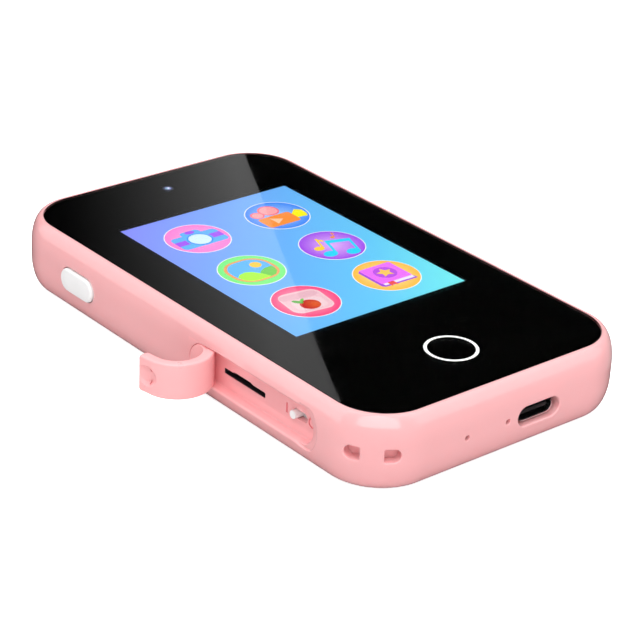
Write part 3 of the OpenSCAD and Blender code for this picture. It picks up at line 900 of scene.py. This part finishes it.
def stadium_loop(build, outline, centre, x, offset, n=64):
    angles = np.linspace(0, 2 * math.pi, n + 1)[:-1]
    reach = outline.spine[1][0]
    towards = np.array([(math.copysign(reach, math.cos(t)) * min(1, abs(math.cos(t)) * 3) + 3 * math.cos(t),
                         3 * math.sin(t)) for t in angles])
    at = outline.points(towards, offset) + centre
    return build.add([(x, y, z) for y, z in at])


def make_key(mat):
    """Long soft-edged key with a slightly crowned face and a flange behind the wall."""
    build = Build()
    low, high = KEY_LOW, KEY_HIGH
    outline = stadium_outline(11.05, 4.95)
    centre = np.array([KEY_Y, KEY_Z])
    face, edge, crown = low[0] + 0.12, 0.5, 0.12
    levels = []
    for share, drop in ((1.9, 0.0), (1.5, 0.02), (1.1, 0.06), (0.8, 0.10)):
        levels.append((-share, face + drop))
    for t in np.radians([0, 18, 36, 54, 72, 90]):
        levels.append((-edge * (1 - math.sin(t)), face + crown + edge * (1 - math.cos(t))))
    flange = (high[2] - low[2] - 5.1) / 2
    levels += [(0.0, -31.47), (flange, -31.45), (flange, high[0])]
    loops = [stadium_loop(build, outline, centre, x, offset) for offset, x in levels]
    for a, b in zip(loops, loops[1:]):
        build.band(a, b)
    build.fill(loops[0])
    build.fill(loops[-1])
    piece = build.piece("power_key_cap", mat, "white_plastic", "power_key", smooth_angle=40)
    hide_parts("power_button")


def make_peg(mat):
    """The slide switch's round peg and the block that carries it behind the slot."""
    build = Build()
    low, high = box_mm("switch_lever")
    r, edge = 0.87, 0.18
    levels = [(low[0], r * 0.55), (low[0] + 0.01, r - edge)]
    levels += [(low[0] + 0.01 + edge * (1 - math.cos(t)), r - edge * (1 - math.sin(t)))
               for t in np.radians([30, 60, 90])]
    levels += [(-30.6, r), (-29.9, r)]
    circle = [way_out(a) for a in np.linspace(0, 360, 41)[:-1]]
    loops = [build.add([(x, PEG_Y + radius * c[0], RECESS_Z + radius * c[1]) for c in circle])
             for x, radius in levels]
    for a, b in zip(loops, loops[1:]):
        build.band(a, b)
    build.fill(loops[0])
    half = (high[1] - low[1]) / 2 - 0.02, (high[2] - low[2]) / 2 - 0.02
    square = []
    for a in np.linspace(0, 360, 41)[:-1]:
        c = way_out(a)
        reach = min(half[0] / max(abs(c[0]), 1e-6), half[1] / max(abs(c[1]), 1e-6))
        square.append(c * reach)
    for x in (-29.9, high[0]):
        loops.append(build.add([(x, PEG_Y + c[0], RECESS_Z + c[1]) for c in square]))
    build.band(loops[-3], loops[-2])
    build.band(loops[-2], loops[-1])
    build.fill(loops[-1])
    piece = build.piece("switch_peg", mat, "white_plastic", "slide_switch", smooth_angle=40)
    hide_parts("switch_lever")


white_plastic = moulded("white_plastic", (0.84, 0.84, 0.84), 0.38, grain=10, depth=0.006)
make_key(white_plastic)
make_peg(white_plastic)


# ---------------------------------------------------------------- the lit picture and its icons

def linear(*rgb):
    """Light values of a display colour given in the usual 0 to 255 steps."""
    return tuple(((c / 255 + 0.055) / 1.055) ** 2.4 if c > 10 else c / 255 / 12.92 for c in rgb)


GLOW = 1.25            # the glass above takes a little of the light
PLATE_Z = SCREEN_HIGH[2]
LAYER = 0.015
PICTURE = (43.2, 57.6)
PICTURE_C = ((SCREEN_LOW[0] + SCREEN_HIGH[0]) / 2, 8.06)


def flat_solid(build, points, low, high):
    a = build.add([(x, y, low) for x, y in points])
    b = build.add([(x, y, high) for x, y in points])
    build.band(a, b)
    build.faces.append(tuple(b))
    build.faces.append(tuple(a[::-1]))


def picture_material():
    made = Shade("picture_glow", (0, 0, 0), 0.5)
    coords = made.node("ShaderNodeTexCoord").outputs["Object"]
    way = (0.5 / (PICTURE[0] * MM), -0.5 / (PICTURE[1] * MM), 0.0)
    along = made.node("ShaderNodeVectorMath", {0: coords, 1: way}, operation="DOT_PRODUCT")
    at_zero = 0.5 - PICTURE_C[0] / 2 / PICTURE[0] + PICTURE_C[1] / 2 / PICTURE[1]
    place = made.node("ShaderNodeMath", {0: along.outputs["Value"], 1: at_zero}, operation="ADD")
    ramp = made.node("ShaderNodeValToRGB", {"Fac": place.outputs[0]})
    stops = [(0.02, linear(137, 146, 255)), (0.27, linear(118, 165, 253)), (0.5, linear(105, 180, 250)),
             (0.75, linear(102, 203, 248)), (0.98, linear(118, 238, 242))]
    bar = ramp.color_ramp
    while len(bar.elements) < len(stops):
        bar.elements.new(0.5)
    for element, (where, color) in zip(bar.elements, stops):
        element.position = where
        element.color = (*color, 1)
    dots = made.ramp(made.noise(7.0, 1), 0.985, 1.015)
    made.set("Emission Color", made.mix(1.0, ramp.outputs[0], dots, "MULTIPLY"))
    made.bsdf.inputs["Emission Strength"].default_value = GLOW
    return made.mat


def make_picture():
    build = Build()
    w, h = PICTURE[0] / 2, PICTURE[1] / 2
    corners = [(-w, -h), (w, -h), (w, h), (-w, h)]
    flat_solid(build, [(PICTURE_C[0] + x, PICTURE_C[1] + y) for x, y in corners],
               PLATE_Z + 0.01, PLATE_Z + 0.03)
    build.piece("lit_picture", picture_material(), "display", weighted=False)


class Icon:
    """Flat artwork in stacked layers; places are millimetres from the icon's centre."""

    def __init__(self, name, centre, low=None):
        self.name, self.centre = name, np.array(centre)
        self.low = PLATE_Z + 0.03 if low is None else low
        self.build, self.mats, self.owner, self.level = Build(), [], [], 0
        self.shapes = {}

    def shape(self, points, color, level, rim=None, radius=1.0, focus=(0, 0)):
        key = (color, rim)
        if key not in self.shapes:
            at = self.centre + focus
            mat = lit("%s_tone_%d" % (self.name, len(self.mats) + 1), linear(*color), GLOW,
                      linear(*rim) if rim else None, radius, at)
            self.shapes[key] = len(self.mats)
            self.mats.append(mat)
        before = len(self.build.faces)
        flat_solid(self.build, [self.centre + p for p in points], self.low, self.low + LAYER * level)
        self.owner += [self.shapes[key]] * (len(self.build.faces) - before)

    def disc(self, x, y, r, color, level, squash=1.0, turn=0.0, **tones):
        c, s = way_out(turn)
        around = [way_out(a) * np.array([r, r * squash]) for a in np.linspace(0, 360, 65)[:-1]]
        self.shape([np.array([x + p[0] * c - p[1] * s, y + p[0] * s + p[1] * c]) for p in around],
                   color, level, **tones)

    def block(self, low, high, r, color, level, turn=0.0, **tones):
        c, s = way_out(turn)
        middle = (np.array(low) + high) / 2
        half = (np.array(high) - low) / 2 - r
        points = []
        for i, (sx, sy) in enumerate(((1, 1), (-1, 1), (-1, -1), (1, -1))):
            for a in np.linspace(0, 90, 7):
                p = half * (sx, sy) + r * way_out(90 * i + a)
                points.append(middle + np.array([p[0] * c - p[1] * s, p[0] * s + p[1] * c]))
        self.shape(points, color, level, **tones)

    def poly(self, points, color, level, **tones):
        self.shape([np.array(p) for p in points], color, level, **tones)

    def base(self, color, rim=None):
        self.disc(0, 0, 7.0, (250, 250, 255), 1)
        self.disc(0, 0, 6.8, color, 2, rim=rim, radius=6.8)

    def finish(self):
        piece = self.build.piece(self.name, self.mats[0], "display", weighted=False)
        for mat in self.mats[1:]:
            piece.data.materials.append(mat)
        for poly, mat in zip(piece.data.polygons, self.owner):
            poly.material_index = mat
            poly.use_smooth = False


def make_icons():
    icon = Icon("icon_camera", (-9.28, 25.25))
    icon.base((255, 165, 222), (255, 128, 214))
    icon.block((-5.5, -3.5), (5.8, 2.4), 1.0, (92, 182, 255), 3)
    icon.block((-2.2, 1.6), (2.6, 3.9), 0.9, (92, 182, 255), 3)
    icon.disc(0.2, 3.2, 1.15, (165, 80, 245), 4, squash=0.6)
    icon.block((-5.5, -1.5), (-2.5, 0.5), 0.1, (165, 80, 245), 4)
    icon.block((2.9, -1.5), (5.8, 0.5), 0.1, (165, 80, 245), 4)
    icon.disc(0.15, -0.6, 3.0, (92, 182, 255), 5)
    icon.disc(0.15, -0.6, 2.75, (52, 146, 250), 6)
    icon.disc(0.15, -0.6, 2.4, (215, 244, 255), 7)
    icon.finish()

    icon = Icon("icon_video", (11.61, 25.28))
    icon.base((160, 205, 255), (58, 136, 248))
    icon.disc(-3.7, 2.1, 1.55, (255, 112, 128), 3)
    icon.disc(-3.7, 2.1, 1.2, (255, 168, 172), 4)
    icon.disc(-0.2, 2.9, 2.35, (255, 112, 128), 3)
    icon.disc(-0.2, 2.9, 1.95, (255, 168, 172), 4)
    icon.poly([(2.7, -1.3), (4.8, 0.5), (6.1, -0.5), (5.9, -2.4), (5.4, -3.5), (2.9, -3.1)], (255, 244, 0), 5)
    icon.block((-5.1, -4.5), (3.0, 0.3), 0.7, (255, 146, 56), 6)
    icon.poly([(-2.5, -0.6), (-0.1, -2.1), (-2.4, -3.6)], (255, 205, 165), 7)
    icon.finish()

    icon = Icon("icon_picture", (-9.42, 7.06))
    icon.base((132, 250, 160), (122, 240, 125))
    icon.block((-5.35, -5.0), (5.35, 5.0), 4.2, (240, 162, 92), 3)
    icon.block((-4.7, -4.4), (4.7, 4.4), 3.7, (92, 184, 255), 4)
    icon.disc(2.1, 1.5, 1.25, (255, 205, 52), 5)
    icon.poly([(0.4, -2.3), (1.2, -1.4), (2.6, -0.7), (4.5, -0.6), (4.55, -1.6), (4.1, -3.0), (3.0, -4.1),
               (1.4, -4.45)], (112, 205, 72), 5)
    icon.poly([(-4.5, -1.4), (-3.4, -0.5), (-1.9, -0.2), (-0.6, -0.8), (0.5, -2.2), (1.6, -4.4),
               (-1.4, -4.48),
               (-3.0, -4.1), (-4.2, -2.8)], (172, 255, 48), 6)
    icon.finish()

    icon = Icon("icon_music", (11.59, 7.21))
    icon.base((228, 178, 252), (160, 72, 234))
    lean, cyan, yellow, orange = -18.0, (40, 215, 255), (255, 214, 54), (240, 150, 60)

    def note(x, y, size, color, level, double=False):
        c, s = way_out(lean)

        def spot(u, v):
            return (x + size * (u * c - v * s), y + size * (u * s + v * c))
        heads = (0, 5.0) if double else (0,)
        for u in heads:
            hx, hy = spot(u - 0.95, 0)
            icon.disc(hx, hy, 1.6 * size, color, level, squash=0.78, turn=lean + 18)
            icon.poly([spot(u, 0), spot(u + 0.6, 0), spot(u + 0.6, 6.2), spot(u, 6.2)], color, level)
        top = 5.6 if double else 1.9
        icon.poly([spot(0, 6.2), spot(0, 4.9), spot(top, 4.9 if double else 3.9),
                   spot(top, 6.2 if double else 5.0)], color, level)
    note(-2.0, -3.4, 1.0, cyan, 4, True)
    note(-2.6, -0.1, 0.74, yellow, 3)
    note(2.9, 2.9, 0.36, orange, 3)
    icon.finish()

    icon = Icon("icon_snack", (-9.34, -10.01))
    icon.base((255, 172, 190), (255, 66, 128))
    icon.block((-4.7, -4.4), (4.7, 4.4), 2.2, (246, 206, 212), 3, turn=-8)
    icon.block((-4.3, -4.0), (4.3, 4.0), 1.9, (240, 196, 205), 4, turn=-8)
    icon.block((-4.2, 1.5), (4.3, 3.7), 1.1, (232, 182, 194), 5, turn=-8)
    icon.block((-3.5, -3.4), (3.3, 1.1), 1.4, (244, 210, 216), 5, turn=-8)
    icon.disc(-0.2, -1.6, 2.15, (226, 96, 34), 6, squash=0.92, rim=(196, 24, 30), radius=2.6,
              focus=(0.7, -2.0))
    icon.disc(-1.7, 0.5, 1.2, (96, 178, 74), 7, squash=0.45, turn=130)
    icon.disc(-0.6, 0.6, 0.9, (120, 196, 84), 7, squash=0.4, turn=40)
    icon.finish()

    icon = Icon("icon_book", (11.48, -10.01))
    icon.base((255, 240, 160), (255, 190, 66))
    icon.poly([(-4.2, 3.9), (-3.4, 4.5), (-3.3, -2.7), (4.5, -3.0), (4.6, -4.2), (-3.6, -4.0), (-4.2, -3.4)],
              (160, 74, 222), 3)
    icon.poly([(-3.3, -2.4), (4.3, -2.6), (4.3, -3.7), (-3.3, -3.5)], (242, 234, 252), 4)
    icon.block((-3.6, -2.7), (4.4, 4.6), 0.35, (238, 116, 255), 5)
    icon.disc(0.5, 1.1, 2.45, (190, 84, 232), 6)
    star = [np.array([0.5, 1.1]) + (1.9 if i % 2 == 0 else 0.95) * way_out(90 + 36 * i) for i in range(10)]
    icon.poly(star, (255, 205, 92), 7)
    icon.poly([(-2.2, -2.7), (-0.7, -2.7), (-0.7, -4.4), (-1.45, -3.8), (-2.2, -4.4)], (242, 84, 74), 7)
    icon.finish()


def make_camera_glint():
    """Painted reflection on the front camera's lens: glowing discs give a blue dome with a pale middle and a
    white highlight spot.
    """
    low, high = box_mm("front_camera_lens")
    centre = (low[:2] + high[:2]) / 2
    icon = Icon("front_camera_painted_glint", centre + 0.12, high[2] + 0.40)
    icon.disc(0, 0, 1.3, (92, 100, 140), 1, rim=(10, 11, 17), radius=1.3)
    icon.disc(0.04, 0.04, 0.72, (190, 202, 245), 2, rim=(96, 110, 168), radius=0.72)
    icon.disc(-0.32, 0.06, 0.2, (110, 190, 170), 3)
    icon.disc(0.22, 0.12, 0.22, (246, 248, 255), 3)
    icon.finish()


HOME_INNER = 4.64      # inner radius of the home ring


def make_glass(clear, edge_ink):
    """The front glass: softly broken top edge, dark sides, and a groove for the home ring behind."""
    build = Build()
    r, low, high, soft = CORNER - GLASS_IN, GLASS_LOW[2], GLASS_HIGH[2], 0.06
    sides = [build.add(ring(r, low)), build.add(ring(r, high - 0.2))]
    build.band(*sides)
    top = [sides[1]] + [build.add(ring(r - soft * (1 - math.cos(t)), high - soft * (1 - math.sin(t))))
                        for t in np.radians([0, 30, 60, 90])]
    for a, b in zip(top, top[1:]):
        build.band(a, b)
    build.fill(top[-1])
    ring_low, ring_high = box_mm("home_ring")
    centre = (ring_low[:2] + ring_high[:2]) / 2
    reach = (ring_high[0] - ring_low[0]) / 2
    groove = [(reach + 0.01, low), (reach + 0.01, ring_high[2] + 0.01),
              (HOME_INNER - 0.01, ring_high[2] + 0.01), (HOME_INNER - 0.01, low)]
    loops = [build.add([(*(centre + radius * way_out(a)), z) for a in np.linspace(0, 360, 97)[:-1]])
             for radius, z in groove]
    build.fill(sides[0], loops[0])
    for a, b in zip(loops, loops[1:]):
        build.band(a, b)
    build.fill(loops[-1])
    piece = build.piece("front_glass_plate", clear, "front_glass", smooth_angle=40)
    piece.data.materials.append(edge_ink)
    for poly in piece.data.polygons:
        upright = abs(poly.normal.z) < 0.1 and poly.center.z < (high - 0.05) * MM
        if upright and (Vector(poly.center).xy - Vector(centre * MM)).length > 2 * reach * MM:
            poly.material_index = 1
    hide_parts("front_panel")



def make_slot_shade_liner(mat):
    """A black sheet lining the card slot's walls, just inside the slot in the recess floor: painted shade in
    the slot.
    """
    build = Build()
    centre, outline = card_outline()
    loops = [stadium_loop(build, outline, centre, x, offset, 160)
             for x, offset in ((-31.22, -0.03), (-29.9, -0.03), (-29.9, -0.15), (-31.22, -0.15))]
    for a, b in zip(loops, loops[1:] + loops[:1]):
        build.band(a, b)
    build.piece("card_slot_painted_shade", mat, "black_plastic", weighted=False)


make_picture()
make_icons()
make_camera_glint()


# ---------------------------------------------------------------- finishes of the carried CAD pieces

def clear_glass(name, tint, rough=0.01):
    made = Shade(name, tint, rough, Transmission_Weight=1.0, IOR=1.5, Specular_Tint=(0.33, 0.33, 0.33, 1))
    made.set("Roughness", made.ramp(made.noise(0.08, 3), rough, rough + 0.02))
    made.bump(made.noise(0.05, 1), 0.02, 0.02)
    return made.mat


def circuit_lacquer(name, color):
    made = Shade(name, color, 0.3)
    tracks = made.node("ShaderNodeTexBrick", {"Vector": made.place(), "Scale": 0.35, "Mortar Size": 0.06})
    tracks.inputs["Color1"].default_value = (*color, 1)
    tracks.inputs["Color2"].default_value = (*[c * 0.85 for c in color], 1)
    tracks.inputs["Mortar"].default_value = (*[min(1, c * 1.9) for c in color], 1)
    made.set("Base Color", tracks.outputs["Color"])
    made.roughen(1.2, 0.1)
    made.bump(tracks.outputs["Fac"], 0.3, 0.03)
    return made.mat


FINISHES = {
    "body_pink": pink_case,
    "front_glass": clear_glass("front_glass", (1.0, 1.0, 1.0)),
    "black_ink": moulded("black_ink", (0.0022, 0.0022, 0.0024), 0.6, grain=5, depth=0.002,
                         Specular_IOR_Level=0.0),
    # The white ink glows: painted light on the print under the glass, in place of the light that would reach
    # it.
    "white_ink": moulded("white_ink", (0.9, 0.9, 0.9), 0.4, grain=6, depth=0.003,
                         Emission_Color=(0.95, 0.95, 0.95, 1), Emission_Strength=1.1),
    "display": moulded("display_film", (0.01, 0.01, 0.012), 0.3, grain=6, depth=0.002),
    "steel": metal("steel", (0.58, 0.58, 0.60), 0.34, (1, 6, 1)),
    "bright_metal": metal("bright_metal", (0.82, 0.82, 0.83), 0.2, (1, 8, 1)),
    "bezel_metal": metal("bezel_metal", (0.72, 0.72, 0.74), 0.28),
    "brass_can": metal("brass_can", (0.78, 0.62, 0.32), 0.3),
    "flex_orange": moulded("flex_orange", (0.62, 0.20, 0.03), 0.35, grain=4, depth=0.01),
    "ivory_plastic": moulded("ivory_plastic", (0.78, 0.72, 0.58), 0.45),
    "black_plastic": moulded("black_plastic", (0.018, 0.018, 0.020), 0.4),
    "chip_black": moulded("chip_black", (0.03, 0.03, 0.032), 0.55, grain=14, depth=0.02),
    "lens_glass": clear_glass("lens_glass", (0.55, 0.60, 0.95)),
    "led_yellow": moulded("led_yellow", (0.85, 0.72, 0.25), 0.2, grain=3, depth=0.01, Coat_Weight=1.0),
    "board_green": circuit_lacquer("board_green", (0.015, 0.16, 0.06)),
    "battery_foil": metal("battery_foil", (0.66, 0.66, 0.68), 0.38),
    "foam_grey": moulded("foam_grey", (0.13, 0.13, 0.14), 0.9, grain=3, depth=0.12),
    "gasket_rubber": moulded("gasket_rubber", (0.025, 0.025, 0.026), 0.7, grain=5, depth=0.04),
    "wire_red": moulded("wire_red", (0.52, 0.02, 0.02), 0.4),
    "wire_black": moulded("wire_black", (0.02, 0.02, 0.02), 0.4),
}

BEVELS = {"usb_shell": 0.14, "usb_tongue": 0.1, "back_cover": 0.25, "cover_screws": 0.12,
          "rear_camera_bezel": 0.08, "battery": 0.5, "main_chip": 0.08, "memory_chip": 0.08,
          "switch_body": 0.08,
          "card_socket_cover": 0.06, "button_switch": 0.08, "wire_sockets": 0.1, "speaker": 0.1}


def dress_cad(name, obj, slot_name):
    obj.data.materials.clear()
    # the front camera's face is printed as dark as the mask round it
    obj.data.materials.append(FINISHES["black_ink" if name == "front_camera" else slot_name])
    if name in BEVELS:
        soft = obj.modifiers.new("soft edges", "BEVEL")
        soft.width = BEVELS[name] * MM
        soft.segments = 3
        soft.angle_limit = math.radians(40)
        soft.use_clamp_overlap = True
    if name in ("panel_mask", "home_ring"):
        # a hair inside the glass, so that the two faces don't share one plane
        shrink = obj.modifiers.new("hair gap", "DISPLACE")
        shrink.strength = -0.012 * MM
        shrink.mid_level = 0.0
    for poly in obj.data.polygons:
        poly.use_smooth = True
    fair = obj.modifiers.new("fair normals", "WEIGHTED_NORMAL")
    fair.keep_sharp = True


make_slot_shade_liner(FINISHES["black_plastic"])
make_glass(FINISHES["front_glass"], FINISHES["black_ink"])
for part in frame["record"]["subparts"]:
    node = frame["nodes"][part["node"]]
    if not node.hide_render:
        dress_cad(part["node"], node, part["material_slot"])


# ---------------------------------------------------------------- stage, light and camera

def stage_card(name, corners_mm, mat):
    mesh = bpy.data.meshes.new(name)
    mesh.from_pydata([tuple(c * MM for c in v) for v in corners_mm], [], [(0, 1, 2, 3)])
    made = bpy.data.objects.new(name, mesh)
    bpy.context.scene.collection.objects.link(made)
    mesh.materials.append(mat)
    return made


FLOOR_HALF = 3000.0
FLOOR_Z = -0.05
FLOOR_GLOW = 0.75      # seen by camera rays only
floor = Shade("floor_white", (0.82, 0.82, 0.82), 0.9).roughen(0.01, 0.05)
floor.bsdf.inputs["Emission Color"].default_value = (1, 1, 1, 1)
seen = floor.node("ShaderNodeLightPath").outputs["Is Camera Ray"]
glow = floor.node("ShaderNodeMath", {0: seen, 1: FLOOR_GLOW}, operation="MULTIPLY")
floor.set("Emission Strength", glow.outputs[0])
floor_card = stage_card("floor", [(x * FLOOR_HALF, y * FLOOR_HALF, FLOOR_Z)
                                  for x, y in ((-1, -1), (1, -1), (1, 1), (-1, 1))], floor.mat)
floor_card.visible_glossy = False

CAMERA_TARGET = np.array([-15.37, -18.0, 15.08])
CAMERA_BACK = np.array([-0.580, -0.6817, 0.4459])
CAMERA_BACK /= np.linalg.norm(CAMERA_BACK)
CAMERA_DISTANCE, CAMERA_ROLL, CAMERA_LENS = 427.23, 2.66, 126.4
CAMERA_SHIFT = (0.01856, 0.00136)
CAMERA_AT = CAMERA_TARGET + CAMERA_DISTANCE * CAMERA_BACK


def make_camera():
    data = bpy.data.cameras.new("camera")
    made = bpy.data.objects.new("camera", data)
    bpy.context.scene.collection.objects.link(made)
    data.lens, data.sensor_width = CAMERA_LENS, 36.0
    data.shift_x, data.shift_y = CAMERA_SHIFT
    data.clip_start, data.clip_end = 0.01, 20.0
    right = np.cross((0, 0, 1), CAMERA_BACK)
    right /= np.linalg.norm(right)
    up = np.cross(CAMERA_BACK, right)
    c, s = way_out(CAMERA_ROLL)
    axes = (c * right + s * up, -s * right + c * up, CAMERA_BACK)
    turn = Matrix([[axes[j][i] for j in range(3)] for i in range(3)]).to_4x4()
    made.matrix_world = Matrix.Translation(Vector(CAMERA_AT * MM)) @ turn
    bpy.context.scene.camera = made


# The line that the reflected card draws on the glass, and the far corner where it fades out
SHEEN_LINE = (np.array([25.98, 54.94]), np.array([-33.18, -49.45]))
SHEEN_REACH = 50.0     # from the line to where the light is gone
SHEEN_LIGHT = 0.80
SHEEN_LEAN = 0.06      # the fade runs a little with the glass's length too
CARD_Z = 600.0


def on_card(glass_point):
    mirrored = CAMERA_AT * np.array([1, 1, -1]) + np.array([0, 0, 2 * TOP])
    hit = np.array([*glass_point, TOP])
    return mirrored + (hit - mirrored) * (CARD_Z - mirrored[2]) / (TOP - mirrored[2])


def make_sheen():
    a, b = on_card(SHEEN_LINE[0])[:2], on_card(SHEEN_LINE[1])[:2]
    along = (a - b) / np.linalg.norm(a - b)
    side = np.array([-along[1], along[0]])
    length = np.linalg.norm(a - b)
    reach = SHEEN_REACH * length / np.linalg.norm(SHEEN_LINE[0] - SHEEN_LINE[1])
    start, end = b - along * 0.5 * length, a + along * 0.5 * length
    wide = reach * 1.2
    made = Shade("sheen_card", (0, 0, 0), 0.5)
    coords = made.node("ShaderNodeTexCoord").outputs["Object"]
    lean = side + np.array([0.0, SHEEN_LEAN])
    way = (lean[0] / (reach * MM), lean[1] / (reach * MM), 0.0)
    across = made.node("ShaderNodeVectorMath", {0: coords, 1: way}, operation="DOT_PRODUCT")
    zero = float((b @ lean) / reach) + SHEEN_LEAN
    share = made.node("ShaderNodeMapRange", {"Value": across.outputs["Value"], "From Min": zero,
                                             "From Max": zero + 1.0, "To Min": 1.15, "To Max": 0.0})
    fade = made.node("ShaderNodeMath", {0: share.outputs[0], 1: 2.05}, operation="POWER")
    level = made.node("ShaderNodeMath", {0: fade.outputs[0], 1: 1.0}, operation="MINIMUM")
    light = made.node("ShaderNodeMath", {0: level.outputs[0], 1: SHEEN_LIGHT}, operation="MULTIPLY")
    made.set("Emission Strength", light.outputs[0])
    made.bsdf.inputs["Emission Color"].default_value = (1, 1, 1, 1)
    corners = [(*at, CARD_Z) for at in (start, end, end + side * wide, start + side * wide)]
    card = stage_card("sheen_card", corners, made.mat)
    card.visible_camera = card.visible_diffuse = card.visible_transmission = False
    card.visible_shadow = card.visible_volume_scatter = False


def area_light(name, at, to, size, power):
    data = bpy.data.lights.new(name, "AREA")
    data.shape, data.size, data.size_y, data.energy = "RECTANGLE", size[0] * MM, size[1] * MM, power
    made = bpy.data.objects.new(name, data)
    bpy.context.scene.collection.objects.link(made)
    made.visible_glossy = False
    aim = Vector(to) - Vector(at)
    turned = aim.to_track_quat("-Z", "Y").to_matrix().to_4x4()
    made.matrix_world = Matrix.Translation(Vector(at) * MM) @ turned
    return made


def make_world():
    """Even light, with the PANELS below round the table that only glossy reflections see."""
    world = bpy.data.worlds.new("studio")
    world.use_nodes = True
    bpy.context.scene.world = world
    tree = world.node_tree
    tree.nodes.clear()

    def node(kind, *inputs, **settings):
        made = tree.nodes.new(kind)
        for key, value in settings.items():
            setattr(made, key, value)
        for key, value in enumerate(inputs):
            if isinstance(value, bpy.types.NodeSocket):
                tree.links.new(value, made.inputs[key])
            elif value is not None:
                made.inputs[key].default_value = value
        return made

    def edge(value, place, sign):
        """1 on one side of a place and 0 on the other, in degrees, over a narrow soft border."""
        start, end = math.radians(place - sign * PANEL_SOFT), math.radians(place + sign * PANEL_SOFT)
        return node("ShaderNodeMapRange", value, start, end, 0.0, 1.0,
                    interpolation_type="SMOOTHSTEP").outputs[0]

    def maths(operation, a, b=None):
        return node("ShaderNodeMath", a, b, operation=operation).outputs[0]

    way = node("ShaderNodeSeparateXYZ", node("ShaderNodeTexCoord").outputs["Generated"]).outputs
    azimuth, rise = maths("ARCTAN2", way[1], way[0]), maths("ARCSINE", way[2])
    total = None
    for start, end, above, level in PANELS:
        lit_part = maths("MULTIPLY", edge(azimuth, start, 1), edge(azimuth, end, -1))
        lit_part = maths("MULTIPLY", lit_part, edge(rise, above, 1))
        lit_part = maths("MULTIPLY", lit_part, level)
        total = lit_part if total is None else maths("ADD", total, lit_part)
    even = node("ShaderNodeBackground", (1, 1, 1, 1), WORLD_LIGHT).outputs[0]
    panels = node("ShaderNodeBackground", (1, 1, 1, 1), total).outputs[0]
    glossy = node("ShaderNodeLightPath").outputs["Is Glossy Ray"]
    mixed = node("ShaderNodeMixShader", glossy, even, panels).outputs[0]
    node("ShaderNodeOutputWorld", mixed)


# Each panel: its azimuth from and to, its lower edge's elevation (degrees) and its light
PANELS = ((108, 164, -4, 0.55), (62, 108, 36, 0.55), (-169, -97, 8, 1.25),
          (-70, -20, 0, 0.5), (-20, 28, 40, 0.5), (-12, 34, -26, 0.2))
PANEL_SOFT = 0.5
WORLD_LIGHT = 0.82
make_world()
make_sheen()
area_light("overhead", (-150, -230, 660), (0, 0, 0), (600, 600), 4.2)
make_camera()

bpy.context.scene.view_settings.view_transform = "Standard"
bpy.context.scene.view_settings.look = "None"
